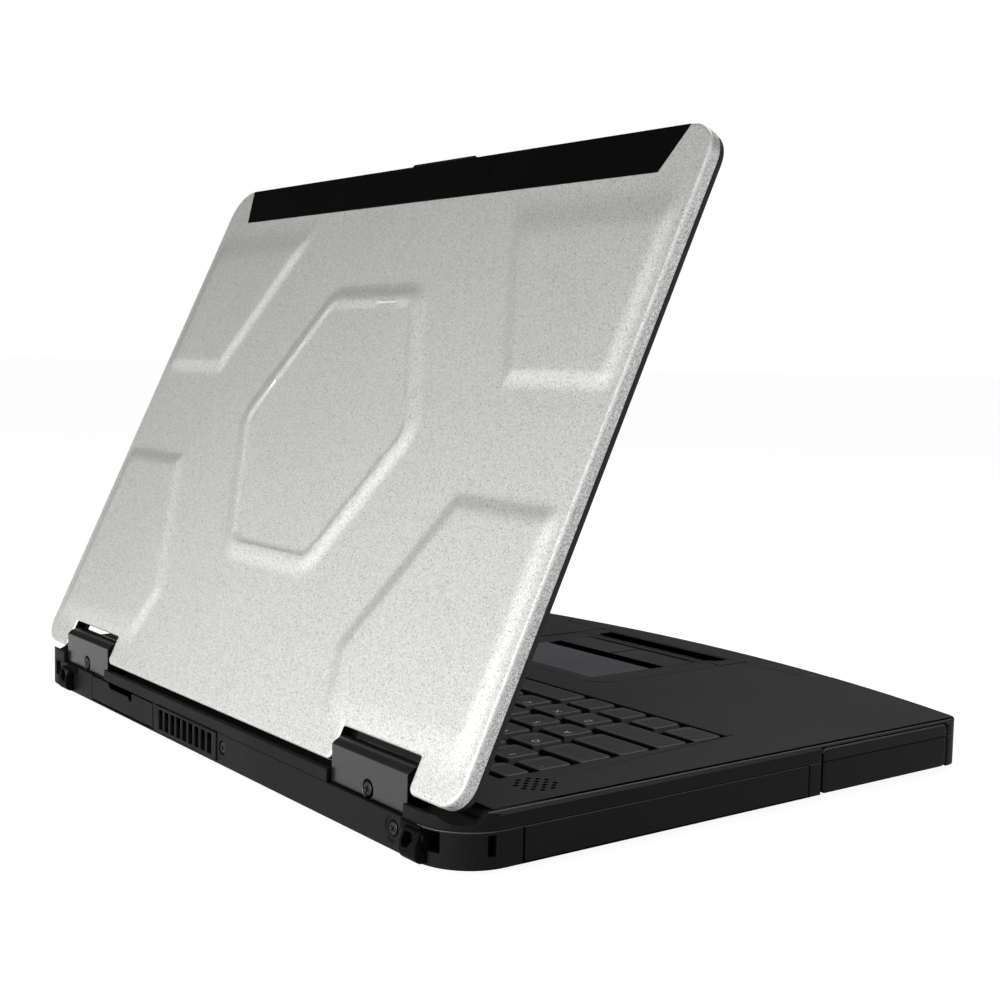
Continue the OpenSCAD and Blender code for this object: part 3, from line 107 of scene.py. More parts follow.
class Finish(Tree):
    """A surface finish built on one Principled shader."""

    def __init__(self, name, **plain):
        self.material = bpy.data.materials.new(name)
        self.material.use_nodes = True
        super().__init__(self.material.node_tree)
        self.shader = next(n for n in self.tree.nodes if n.type == "BSDF_PRINCIPLED")
        for key, value in plain.items():
            self.shader.inputs[key.replace("_", " ")].default_value = value
        self.place = self.node("ShaderNodeTexCoord", {}, out="Object")

    def noise(self, per_mm, detail=2.0, rough=0.5):
        return self.node("ShaderNodeTexNoise", {}, Vector=self.place,
                         Scale=per_mm * 1000.0, Detail=detail, Roughness=rough)

    def flakes(self, per_mm):
        cell = self.node("ShaderNodeTexVoronoi", {}, Vector=self.place, Scale=per_mm * 1000.0,
                         out="Color")
        return self.node("ShaderNodeSeparateColor", {}, cell)

    def blend(self, mask, low, high):
        """A colour that goes from low to high as the mask goes from 0 to 1."""
        return self.node("ShaderNodeMix", {"data_type": "RGBA"}, mask, *[None] * 5, low, high,
                         out=2)

    def axis(self, name):
        return self.node("ShaderNodeSeparateXYZ", {}, self.place, out=name)

    def set(self, **wires):
        for key, wire in wires.items():
            self.tree.links.new(wire.socket, self.shader.inputs[key.replace("_", " ")])

    def cover(self, mask, colour):
        """Lays a flat matt colour over the finish where the mask is one."""
        last = next(n for n in self.tree.nodes if n.type == "OUTPUT_MATERIAL")
        matt = self.node("ShaderNodeBsdfDiffuse", {}, colour)
        self.join(last.inputs["Surface"], self.node(
            "ShaderNodeMixShader", {}, mask, Wire(self, self.shader.outputs[0]), matt))

    def bumps(self, height, depth_mm):
        self.set(Normal=self.node("ShaderNodeBump", {}, Strength=1.0,
                                  Distance=depth_mm * 0.001, Height=height))


def grey(r, g=None, b=None):
    """A display colour of 0 to 255 as a linear shader colour."""
    g, b = (r if g is None else g), (r if b is None else b)
    return tuple((c / 255 / 12.92 if c <= 10 else ((c / 255 + 0.055) / 1.055) ** 2.4)
                 for c in (r, g, b)) + (1.0,)


def moulded(name, dark, light, roughness, grain=0.04, per_mm=2.2, shine=0.22):
    """Moulded plastic: fine grain, faint flow marks, and roughness that varies a little with them.
    """
    f = Finish(name, Specular_IOR_Level=shine)
    flow = f.noise(0.018, 3.0)
    fine = f.noise(per_mm, 3.0, 0.6)
    f.set(Base_Color=f.blend(flow * 0.5 + fine * 0.5, dark, light),
          Roughness=flow.ramp(0.3, 0.7, roughness - 0.06, roughness + 0.06))
    f.bumps(fine, grain)
    return f.material


charcoal = moulded("charcoal_moulding", grey(15), grey(23), 0.52, shine=0.07)
# a pale grey painted on upper edges as a highlight
painted_highlight = moulded("painted_edge_highlight", grey(78), grey(96), 0.45, shine=0.2)


def worked(piece):
    """The plain mesh that an object's modifiers give."""
    bpy.context.view_layer.update()
    return bpy.data.meshes.new_from_object(
        piece.evaluated_get(bpy.context.evaluated_depsgraph_get()))


EASE_ANGLE, FLAT_ANGLE, JOIN = 28, 0.6, 2e-6


def settle(name, mesh, material, body, nodes=(), ease_mm=0.0, steps=2, sharp=38):
    """Makes a finished piece of a mesh: eased edges, smooth shading, a finish, a body to ride."""
    piece = bpy.data.objects.new(name, mesh)
    bpy.context.scene.collection.objects.link(piece)
    if ease_mm:
        ease = piece.modifiers.new("ease", "BEVEL")
        ease.width, ease.segments = ease_mm * 0.001, steps
        ease.limit_method, ease.angle_limit = "ANGLE", math.radians(EASE_ANGLE)
        ease.use_clamp_overlap, ease.loop_slide = False, False
        ease.miter_outer = "MITER_ARC"
        mesh = worked(piece)
        piece.modifiers.clear()
        piece.data = mesh
    if material:
        mesh.materials.clear()
        mesh.materials.append(material)
        mesh.polygons.foreach_set("material_index", [0] * len(mesh.polygons))
    mesh.polygons.foreach_set("use_smooth", [True] * len(mesh.polygons))
    mesh.set_sharp_from_angle(angle=math.radians(sharp))
    piece.modifiers.new("flat_faces", "WEIGHTED_NORMAL").keep_sharp = True
    piece.data = worked(piece)
    piece.modifiers.clear()
    piece.data.name = name
    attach(piece, body)
    if nodes:
        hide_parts(*nodes)
    return piece


def carved(mesh, tools):
    """The mesh with other closed shapes taken out of it."""
    piece = bpy.data.objects.new("carved", mesh)
    bpy.context.scene.collection.objects.link(piece)
    made = [piece]
    for tool in tools:
        made.append(bpy.data.objects.new("tool", tool.mesh("tool", tidy=True)))
        bpy.context.scene.collection.objects.link(made[-1])
        cut = piece.modifiers.new("cut", "BOOLEAN")
        cut.object, cut.operation, cut.solver = made[-1], "DIFFERENCE", "EXACT"
    done = worked(piece)
    for thing in made:
        bpy.data.objects.remove(thing)
    return done


def eased(node, width_mm, material, body, steps=2, cuts=()):
    """The node's own form with its hard edges rounded over, as the mould leaves them."""
    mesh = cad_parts[node].data.copy()
    if cuts:
        mesh = carved(mesh, cuts)
    bm = bmesh.new()
    bm.from_mesh(mesh)
    bmesh.ops.remove_doubles(bm, verts=bm.verts, dist=JOIN)
    bmesh.ops.dissolve_limit(bm, angle_limit=math.radians(FLAT_ANGLE), verts=bm.verts,
                             edges=bm.edges)
    bmesh.ops.triangulate(bm, faces=bm.faces)
    bm.to_mesh(mesh)
    bm.free()
    return settle(node + "_body", mesh, material, body, [node], width_mm, steps)


def shaded(piece, material, where):
    """Gives a second finish to the faces that where(middle in mm, normal) picks."""
    piece.data.materials.append(material)
    slot = len(piece.data.materials) - 1
    for face in piece.data.polygons:
        if where(face.center * 1000, face.normal):
            face.material_index = slot


# a painted highlight along the parting line's edge, on the side with the bays
tray = eased("bottom_case", 0.3, charcoal, "base")
shaded(tray, painted_highlight, lambda at, n: 0.3 < n.z < 0.93 and 13.4 < at.z < 14 and at.x < -144)

# ---------------------------------------------------------------- feet
# Four soft black rubber pads, moulded with rounded edges and glued into shallow pockets under
# the bottom case.
rubber = moulded("foot_rubber", grey(16), grey(27), 0.8, 0.08, 1.2, 0.3)
eased("rubber_feet", 0.4, rubber, "base")

# ---------------------------------------------------------------- grille and tether loops
# The exhaust grille is a moulded frame with upright slats, clipped in the back wall. The two
# loops for a tether are soft black mouldings, set in the case's back corners.
# near black: the colour of the black mouldings, and also painted as shade in deep places
black_and_painted_shade = moulded("black_moulding_and_painted_shade", grey(4), grey(8), 0.6, shine=0.04)
shadow = moulded("gap_shadow", grey(1), grey(2), 0.9, shine=0.0)
grille = eased("exhaust_grille", 0.2, charcoal, "base", 1)
# painted shadow in the slots between the slats
shaded(grille, shadow, lambda at, n: at.y < 134.0)
eased("tether_loops", 0.5, black_and_painted_shade, "base", 3)

# ---------------------------------------------------------------- screws
# Blackened steel pan heads with a cross recess, driven into round seats in the back wall and
# the hinge covers. One head is set at every seat by Geometry Nodes, each turned by chance.
def pattern_group():
    """Geometry Nodes: stands a unit on each point, turns it about its own axis, makes it real."""
    group = bpy.data.node_groups.new("unit_pattern", "GeometryNodeTree")
    face, ids = group.interface, {}
    for name, kind in (("Geometry", "Geometry"), ("Unit", "Object"), ("Stand", "Vector"),
                       ("Chance", "Float"), ("Seed", "Int"), ("Finish", "Material")):
        ids[name] = face.new_socket(name, in_out="INPUT",
                                    socket_type="NodeSocket" + kind).identifier
    face.new_socket("Geometry", in_out="OUTPUT", socket_type="NodeSocketGeometry")
    kinds = {"into": "NodeGroupInput", "unit": "GeometryNodeObjectInfo",
             "stand": "GeometryNodeInstanceOnPoints", "low": "ShaderNodeMath",
             "chance": "FunctionNodeRandomValue", "axis": "ShaderNodeCombineXYZ",
             "turn": "GeometryNodeRotateInstances", "real": "GeometryNodeRealizeInstances",
             "skin": "GeometryNodeSetMaterial", "out": "NodeGroupOutput"}
    n = {name: group.nodes.new(kind) for name, kind in kinds.items()}
    n["low"].operation, n["low"].inputs[1].default_value = "MULTIPLY", -1.0
    n["turn"].inputs["Local Space"].default_value = True
    floats = [k for k, socket in enumerate(n["chance"].inputs) if socket.type == "VALUE"]
    drawn = next(k for k, socket in enumerate(n["chance"].outputs) if socket.type == "VALUE")
    for a, start, b, end in (
            ("into", "Unit", "unit", "Object"), ("into", "Geometry", "stand", "Points"),
            ("unit", "Geometry", "stand", "Instance"), ("into", "Stand", "stand", "Rotation"),
            ("into", "Chance", "low", 0), ("low", 0, "chance", floats[0]),
            ("into", "Chance", "chance", floats[1]), ("into", "Seed", "chance", "Seed"),
            ("chance", drawn, "axis", "Z"), ("stand", "Instances", "turn", "Instances"),
            ("axis", 0, "turn", "Rotation"), ("turn", "Instances", "real", "Geometry"),
            ("real", "Geometry", "skin", "Geometry"), ("into", "Finish", "skin", "Material"),
            ("skin", "Geometry", "out", "Geometry")):
        group.links.new(n[a].outputs[start], n[b].inputs[end])
    return group, ids


UNIT_PATTERN, PATTERN_IDS = pattern_group()


def patterned(name, unit, spots, stand, finish, body, nodes=(), chance=0.0, seed=1, sharp=38):
    """A unit shape set at every spot, in millimetres, as one plain mesh on one body."""
    points = bpy.data.meshes.new(name)
    points.from_pydata([tuple(c * 0.001 for c in spot) for spot in spots], [], [])
    holder = bpy.data.objects.new(name, points)
    one = bpy.data.objects.new("unit", unit.mesh("unit", tidy=True))
    for thing in (holder, one):
        bpy.context.scene.collection.objects.link(thing)
    live = holder.modifiers.new("pattern", "NODES")
    live.node_group = UNIT_PATTERN
    for key, value in (("Unit", one), ("Stand", stand), ("Chance", chance), ("Seed", seed),
                       ("Finish", finish)):
        live[PATTERN_IDS[key]] = value
    done = worked(holder)
    for thing in (holder, one):
        bpy.data.objects.remove(thing)
    return settle(name, done, finish, body, nodes, sharp=sharp)


class Shape:
    """Collects points and faces for one mesh, in millimetres."""

    def __init__(self):
        self.points, self.faces, self.kinds = [], [], []

    def add(self, points, faces, kind=0):
        base = len(self.points)
        self.points += [tuple(p) for p in points]
        self.faces += [[base + i for i in face] for face in faces]
        self.kinds += [kind] * len(faces)

    def skin(self, loops, foot=True, head=True, kind=0):
        """Joins rings of equal length into one closed skin."""
        count = len(loops[0])
        faces = [[r * count + i, r * count + (i + 1) % count,
                  (r + 1) * count + (i + 1) % count, (r + 1) * count + i]
                 for r in range(len(loops) - 1) for i in range(count)]
        if foot:
            faces.append(list(range(count))[::-1])
        if head:
            faces.append([(len(loops) - 1) * count + i for i in range(count)])
        self.add([p for loop in loops for p in loop], faces, kind)

    def mesh(self, name, tidy=False):
        """The mesh, in metres; tidy joins its doubles and turns its faces outwards."""
        made = bpy.data.meshes.new(name)
        made.from_pydata([tuple(c * 0.001 for c in p) for p in self.points], [], self.faces)
        made.polygons.foreach_set("material_index", self.kinds)
        if tidy:
            bm = bmesh.new()
            bm.from_mesh(made)
            bmesh.ops.remove_doubles(bm, verts=bm.verts, dist=1e-6)
            bmesh.ops.recalc_face_normals(bm, faces=bm.faces)
            bm.to_mesh(made)
            bm.free()
        return made


def disc_ring(radius, z, count):
    """A ring of points round the z axis."""
    return [(radius * math.cos(2 * math.pi * k / count),
             radius * math.sin(2 * math.pi * k / count), z) for k in range(count)]


def screw_head(r, tall=1.1, count=32):
    """A pan head standing on z = 0: domed rim, and a cross sunk in its top."""
    shape = Shape()
    rings = [disc_ring(r * wide, z, count) for wide, z in (
        (0.4, -1.2), (0.4, 0), (0.97, 0), (1, tall * 0.2), (1, tall * 0.55), (0.95, tall * 0.8),
        (0.84, tall * 0.96), (0.7, tall))]
    shape.skin(rings, head=False)
    w, arm, deep = r * 0.13, r * 0.52, 0.55
    cross = [(arm, -w), (arm, w), (w, w), (w, arm), (-w, arm), (-w, w),
             (-arm, w), (-arm, -w), (-w, -w), (-w, -arm), (w, -arm), (w, -w)]
    flat = [(p[0], p[1]) for p in rings[-1]] + cross
    ties = [(k, (k + 1) % count) for k in range(count)]
    ties += [(count + k, count + (k + 1) % 12) for k in range(12)]
    got = delaunay_2d_cdt([Vector(p) for p in flat], ties, [], 1, 1e-6)
    spots = [tuple(p) for p in got[0]]

    def in_cross(face):
        x = abs(sum(spots[i][0] for i in face) / len(face))
        y = abs(sum(spots[i][1] for i in face) / len(face))
        return min(x, y) < w and max(x, y) < arm

    shape.add([(x, y, tall) for x, y in spots], [list(f) for f in got[2] if not in_cross(f)])
    shape.skin([[(x, y, tall - deep) for x, y in cross], [(x, y, tall) for x, y in cross]],
               head=False)
    return shape


def screws(name, node, r, spots):
    """Pan heads of radius r facing backwards, in place of a node's own."""
    patterned(name, screw_head(r), spots, (-math.pi / 2, 0, 0), blackened, "base", [node],
              math.pi, 4, 30)


def metal(name, colour, roughness, bare=1.0, shine=0.5):
    """Plated or rolled metal with faint cloudy wear: bare is 1 where no paint covers it."""
    f = Finish(name, Metallic=bare, Specular_IOR_Level=shine)
    fine = f.noise(1.5, 4.0)
    dull = tuple(c * 0.8 for c in colour[:3]) + (1.0,)
    f.set(Base_Color=f.blend(fine, dull, colour),
          Roughness=fine.ramp(0.2, 0.8, roughness - 0.08, roughness + 0.08))
    f.bumps(fine, 0.01)
    return f.material


blackened = metal("blackened_steel", grey(11), 0.4, 0.1, 0.25)
BACK_WALL, BACK_SCREW_Z = 133.4, 8.6
screws("back_screw_heads", "back_screws", 2.3,
       [(x, BACK_WALL, BACK_SCREW_Z) for x in (-18.4, -138.3)])

# ---------------------------------------------------------------- doors and bays
# Hinged port doors, battery end, drive front and storage caddy: separate charcoal mouldings
# that close the sides and back flush with the case.
def gap_edges(piece):
    """Deep shadow on the eased edges that face a gap."""
    shaded(piece, shadow, lambda at, n: n.z < 0.3 and max(abs(c) for c in n) < 0.93)


def trimmed(piece):
    """A painted highlight on a panel's upper edge and painted deep shadow along its other edges."""
    shaded(piece, painted_highlight, lambda at, n: 0.3 < n.z < 0.93)
    gap_edges(piece)


def panel_finish(crease_mm=13.9):
    """The battery end: a black line of painted shade along a shallow crease on the case's parting
    line, and painted light that makes it paler above the crease.
    """
    f = Finish("battery_end_moulding", Specular_IOR_Level=0.07)
    fine = f.noise(2.2, 3.0, 0.6)
    over = f.axis("Z") - crease_mm / 1000
    low, high = f.blend(fine, grey(15), grey(23)), f.blend(fine, grey(27), grey(35))
    f.set(Base_Color=f.blend(over.ramp(0.00012, 0.00018), low, high),
          Roughness=fine.ramp(0.3, 0.7, 0.46, 0.56))
    f.cover(abs(over).ramp(0.00014, 0.00018, 1.0, 0.0), grey(3))
    f.bumps(fine, 0.04)
    return f.material


# the back door's finger notch lies deep in shadow
door = eased("port_door", 0.2, charcoal, "back_door")
shaded(door, shadow, lambda at, n: at.y < 134.4 and at.z > 10.2 and 65 < at.x < 95)
gap_edges(door)
trimmed(eased("side_door", 0.3, charcoal, "right_door", 1))
trimmed(eased("battery_end", 0.4, panel_finish(), "battery_pack", 1))
eased("battery", 0.3, black_and_painted_shade, "battery_pack", 1)
trimmed(eased("drive_front", 0.3, charcoal, "drive", 1))
trimmed(eased("storage_caddy", 0.3, charcoal, "base", 1))

# ---------------------------------------------------------------- sliding catches
# Two black catches in slots under the case, which hold the battery and the drive in their bays.
# Each has five moulded thumb ribs, set across it by Geometry Nodes.
def round_box(x0, x1, y0, y1, r, z, turns=4):
    """A rounded rectangle ring, anticlockwise from above."""
    ring = []
    for cx, cy, start in ((x1 - r, y0 + r, -90), (x1 - r, y1 - r, 0), (x0 + r, y1 - r, 90),
                          (x0 + r, y0 + r, 180)):
        for k in range(turns + 1):
            a = math.radians(start + 90 * k / turns)
            ring.append((cx + r * math.cos(a), cy + r * math.sin(a), z))
    return ring


def block(x0, x1, y0, y1, z0, z1, r=0.4):
    """A closed upright block with rounded corners."""
    shape = Shape()
    shape.skin([round_box(x0, x1, y0, y1, r, z) for z in (z0, z1)])
    return shape


def reach(node):
    """The lowest and highest corner of a node, in millimetres."""
    spots = np.array([v.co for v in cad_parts[node].data.vertices]) * 1000
    return spots.min(axis=0), spots.max(axis=0)


def grip_ribs(name, node, body, pitch=2.2):
    """Five thumb ribs moulded across a sliding catch under the case."""
    low, high = reach(node)
    mid = (low + high) / 2
    rib = block(-0.45, 0.45, -2.2, 2.2, -0.4, 0.5, 0.3)
    spots = [(mid[0] + pitch * k, mid[1], low[2]) for k in range(-2, 3)]
    patterned(name, rib, spots, (math.pi, 0, 0), black_and_painted_shade, body)


for node, body in (("battery_release", "battery_catch"), ("drive_release", "drive_catch")):
    eased(node, 0.3, black_and_painted_shade, body)
    grip_ribs(node + "_ribs", node, body)

# ---------------------------------------------------------------- optical drive
# A flat case of folded zinc-plated steel behind the drive front. It slides in its bay and comes
# out with the front.
steel = metal("zinc_steel", grey(150, 150, 152), 0.36)
eased("optical_drive", 0.3, steel, "drive", 1)

# ---------------------------------------------------------------- inside the case
# Green lacquered main board with its processor and memory, a copper heat sink whose outlet end
# is painted black as shade, a blower in its case, steel ports, speakers and the plate under the
# keys, painted as shadow.
board = moulded("board_lacquer", grey(18, 62, 42), grey(30, 84, 58), 0.4, 0.02, 1.0)
copper = metal("copper_sheet", grey(196, 128, 92), 0.3)
eased("main_board", 0, board, "base")
eased("memory_module", 0, board, "base")
eased("processor", 0, steel, "base")
sink = eased("heat_sink", 0, copper, "base")
# the outlet end is painted black as shade behind the grille
shaded(sink, black_and_painted_shade, lambda at, n: at.y > 115)
eased("fan_case", 0.2, black_and_painted_shade, "base", 1)
eased("fan_rotor", 0.2, black_and_painted_shade, "fan", 1)
eased("speakers", 0, black_and_painted_shade, "base")
eased("back_ports", 0, steel, "base")
eased("side_ports", 0, steel, "base")
eased("lock_slot", 0, blackened, "base")
eased("key_plate", 0, shadow, "base")
eased("latch_catch", 0.2, steel, "base", 1)

# ---------------------------------------------------------------- top case
# The deck and palm rest: one moulding of slightly warmer charcoal with a soft grain, closed on
# the tray along the parting line. Its deep places are painted black as shade, and its side edges
# carry a painted highlight.
def band(value, low, high):
    """One between low and high millimetres, nothing elsewhere."""
    middle, half = (low + high) / 2000, (high - low) / 2000
    return abs(value - middle).ramp(half * 0.8, half * 1.2, 1.0, 0.0)


def ring_line(f, x0, x1, y0, y1, r, wide):
    """A thin line along a rounded rectangle seen from above, in millimetres."""
    cx, cy, hx, hy = (v / 2000 for v in (x0 + x1, y0 + y1, x1 - x0 - 2 * r, y1 - y0 - 2 * r))
    qx = (abs(f.axis("X") - cx) - hx).at_least(0.0)
    qy = (abs(f.axis("Y") - cy) - hy).at_least(0.0)
    off = abs((qx * qx + qy * qy).root() - r / 1000)
    return off.ramp(wide / 2500, wide / 1700, 1.0, 0.0)


def deck_finish(name, dark, light, roughness, shine=0.22):
    """Deck plastic, with the shadow lines round the touchpad, the buttons and the deck's edge."""
    f = Finish(name, Specular_IOR_Level=shine)
    x, y = f.axis("X"), f.axis("Y")
    flow, fine = f.noise(0.018, 3.0), f.noise(2.2, 3.0, 0.6)
    pad_edge = ring_line(f, -45.9, 56, -160, -30.8, 12, 0.9) * y.ramp(-0.1252, -0.1248)
    button_slit = band(y, -104.1, -102.5) * band(x, -32.5, 42.5)
    deck_edge = band(abs(x), 168.9, 170.7) * band(y, -136, 117)
    f.cover(pad_edge.at_least(button_slit).at_least(deck_edge), grey(3))
    f.set(Base_Color=f.blend(flow * 0.5 + fine * 0.5, dark, light),
          Roughness=flow.ramp(0.3, 0.7, roughness - 0.06, roughness + 0.06))
    f.bumps(fine, 0.03)
    return f.material


DECK_TOP, SIDE_EDGE, TRENCH_FRONT, BACK_LEDGE = 20.0, 171.0, 116.0, 133.2
deck_grain = deck_finish("deck_moulding", grey(38, 35, 38), grey(48, 45, 48), 0.56)
well_ramp = Shape()
well_ramp.skin([[(x, -28.6, DECK_TOP + 0.02), (x, -15.2, 19.0), (x, -15.2, 21.5),
                 (x, -28.6, 21.5)] for x in (-141.2, 141.2)])
deck = eased("top_case", 0.35, deck_grain, "base", 3, [well_ramp])
# back trench painted black as shade, back ledge, corner blocks painted darker as shade, a painted
# highlight on the side edges, and painted shadow in the latch recess and side seam
shaded(deck, black_and_painted_shade, lambda at, n: TRENCH_FRONT < at.y < BACK_LEDGE and at.z < DECK_TOP - 0.2
       and abs(at.x) < SIDE_EDGE)
shaded(deck, charcoal, lambda at, n: at.y > BACK_LEDGE
       or abs(at.x) > SIDE_EDGE + 0.2 and at.z < 18.6)
shaded(deck, charcoal, lambda at, n: at.y > TRENCH_FRONT + 1 and abs(at.x) > 144.5)
shaded(deck, painted_highlight, lambda at, n: 0.76 < n.z < 0.95 and abs(at.x) > SIDE_EDGE - 0.2
       and at.z > DECK_TOP - 1 and at.y < TRENCH_FRONT + 2)
shaded(deck, shadow, lambda at, n: -38 < at.x < 48 and -121 < at.y < -108.8
       and at.z < DECK_TOP - 0.4)
shaded(deck, shadow, lambda at, n: n.z < -0.3 and at.z < 19.4 and abs(at.x) > SIDE_EDGE - 1)

# ---------------------------------------------------------------- touchpad and buttons
# A matt grey pad in a plate of deck plastic, with a sunk slot in front of it. The two buttons
# and the power button are satin caps that press straight down in their openings.
SLOT_FRONT, SLOT_BACK = -82.9, -75.2
pad_top = deck_finish("pad_moulding", grey(82, 82, 88), grey(90, 90, 96), 0.45, 0.3)
pad = eased("touchpad", 0.2, deck_grain, "base", 2,
            [block(-33.4, 43.2, SLOT_FRONT, SLOT_BACK, 18.7, 21, 0.8)])
shaded(pad, pad_top, lambda at, n: n.z > 0.9 and at.z < 19.6 and at.y > -77.5)
# painted shadow in the sunk slot
shaded(pad, shadow, lambda at, n: SLOT_FRONT - 0.3 < at.y < SLOT_BACK + 0.2 and at.z < 19.3
       and -34 < at.x < 44)
pad_skin = moulded("button_moulding", grey(50, 48, 51), grey(60, 58, 61), 0.5, 0.02)
for node, body in (("button_left", "left_button"), ("button_right", "right_button"),
                   ("power_button", "power_key")):
    button = eased(node, 0.3, pad_skin, body, 1)
    # painted shadow on the buttons' sides
    shaded(button, shadow, lambda at, n: abs(n.z) < 0.93)

# ---------------------------------------------------------------- carry handle
# A charcoal grip along the front edge, flush with the deck, on two arms that slide in sleeves.
# Its top has the deck's grain, and its ends are painted as shadow in the slanted seams.
grip = eased("front_handle", 0.6, charcoal, "handle", 3)
shaded(grip, deck_grain, lambda at, n: n.z > 0.5)
shaded(grip, shadow, lambda at, n: abs(n.x) > 0.7)

# ---------------------------------------------------------------- speaker holes
# A diamond of round holes is drilled through the deck over each speaker. Geometry Nodes sets a
# disc of painted shadow in the mouth of every hole, so that each one reads as deep.
def hole_disc(r=0.8):
    """A thin disc that stands 0.03 mm out of a hole's mouth."""
    shape = Shape()
    shape.skin([disc_ring(r, z, 20) for z in (-0.3, 0.03)])
    return shape


HOLE_PITCH, SPEAKER_X, SPEAKER_Y = 2.2, 154.0, 88.8
holes = [(side * (SPEAKER_X - HOLE_PITCH * i), SPEAKER_Y + HOLE_PITCH * j, DECK_TOP)
         for side in (-1, 1) for i in range(-3, 4) for j in range(-3, 4)
         if (i + j) % 2 == 0 and abs(i) + abs(j) < 5]
patterned("speaker_holes", hole_disc(), holes, (0, 0, 0), shadow, "base")

# ---------------------------------------------------------------- keys
# Each key is a moulded cap with sloped sides, rounded corners and a slightly dished top, on a
# square post. Plain pale characters are printed flat on the tops. A row's caps are one piece.
def key_finish():
    """Key plastic: satin grey tops, with the sides below them painted nearly black as the shade
    between the keys.
    """
    f = Finish("key_moulding", Specular_IOR_Level=0.28, Roughness=0.46)
    fine = f.noise(3.0, 3.0, 0.6)
    top = f.blend(fine, grey(64, 62, 65), grey(75, 73, 76))
    f.set(Base_Color=f.blend(f.axis("Z").ramp(0.01890, 0.01922), grey(2), top))
    f.bumps(fine, 0.012)
    return f.material


key_skin = key_finish()
print_ink = moulded("key_print", grey(205, 207, 210), grey(226, 228, 231), 0.6, 0.0)
KEY_TOP, KEY_FOOT, KEY_GAP, KEY_SLOPE, POST_FOOT, POST_HALF = 19.3, 15.7, 0.65, 1.9, 12.7, 1.5
LETTER_TALL, LETTER_IN, LETTER_DOWN = 4.6, 5.0, 5.6
# the key field's left end, its width, and how many letter keys that width holds
FIELD_LEFT, FIELD_WIDE, ROW_KEYS = -141.5, 283.0, 14.817
LETTER_KEY = FIELD_WIDE / ROW_KEYS
WELL_FRONT, ROW_DEEP, TOP_ROW_DEEP, ROW_STEP = -15.5, 18.6, 14.4, 0.8
TOP_ROW = 5
# how far a cap is drawn in at each height, and the radius of its corners there
CAP_RINGS = [(0.0, KEY_FOOT, 0.9), (0.0, 16.45, 0.9), (0.1, 16.75, 1.0), (0.82, 18.55, 1.7),
             (0.93, 18.9, 1.9), (1.1, 19.15, 2.0), (1.32, 19.27, 2.0), (1.6, KEY_TOP, 2.0),
             (2.2, 19.24, 1.9), (3.1, 19.14, 1.6), (4.0, 19.1, 1.2)]


def filled(shares):
    """Widths in millimetres of a row's keys, the last of which fills what is left."""
    widths = [LETTER_KEY * share for share in shares]
    return widths + [FIELD_WIDE - sum(widths)]


def keycap(shape, x0, x1, y0, y1):
    """One cap: its front side slopes less than the other three."""
    x0, x1, y0, y1 = x0 + KEY_GAP, x1 - KEY_GAP, y0 + KEY_GAP, y1 - KEY_GAP
    rings = []
    for inset, z, r in CAP_RINGS:
        i = inset * KEY_SLOPE / 1.4 if inset < 1.7 else inset + 0.6
        i = min(i, (y1 - y0) / 2 - r - 0.1)
        rings.append(round_box(x0 + i, x1 - i, y0 + i * 0.75, y1 - i, r, z))
    shape.skin(rings)


def lettered(shape, character, x, y):
    """Lays one printed character flat on a key top, in the mesh's second finish."""
    text = bpy.data.curves.new("print", "FONT")
    text.body, text.size, text.resolution_u = character, 1.0, 2
    text.align_x, text.align_y = "LEFT", "BOTTOM_BASELINE"
    holder = bpy.data.objects.new("print", text)
    bpy.context.scene.collection.objects.link(holder)
    bpy.context.view_layer.update()
    flat = bpy.data.meshes.new_from_object(holder)
    shape.add([(x + v.co.x * LETTER_TALL, y + v.co.y * LETTER_TALL, KEY_TOP - 0.16)
               for v in flat.vertices], [list(p.vertices) for p in flat.polygons], 1)
    bpy.data.objects.remove(holder)
    bpy.data.curves.remove(text)
    bpy.data.meshes.remove(flat)


def key_row(node, body, number, widths, marks, chosen=None):
    """One row of caps over its node, with a character for each cap or none."""
    shape = Shape()
    deep = TOP_ROW_DEEP if number == TOP_ROW else ROW_DEEP
    front = WELL_FRONT + ROW_STEP + (number * ROW_DEEP - ROW_STEP if number else 0)
    back = front + (ROW_DEEP - ROW_STEP if number == 0 else deep)
    for index in chosen or range(len(widths)):
        x0 = FIELD_LEFT + sum(widths[:index])
        x1 = x0 + widths[index]
        keycap(shape, x0, x1, front, back)
        mark = marks[index] if index < len(marks) else " "
        if mark != " ":
            lettered(shape, mark, x0 + LETTER_IN, back - LETTER_DOWN - LETTER_TALL * 0.72)
        x, y = (x0 + x1) / 2, (front + back) / 2
        shape.skin([round_box(x - POST_HALF, x + POST_HALF, y - POST_HALF, y + POST_HALF, 0.3, z, 1)
                    for z in (POST_FOOT, KEY_FOOT + 0.05)])
    piece = settle(node + "_caps", shape.mesh(node), None, body, [node], sharp=50)
    piece.data.materials.append(key_skin)
    piece.data.materials.append(print_ink)


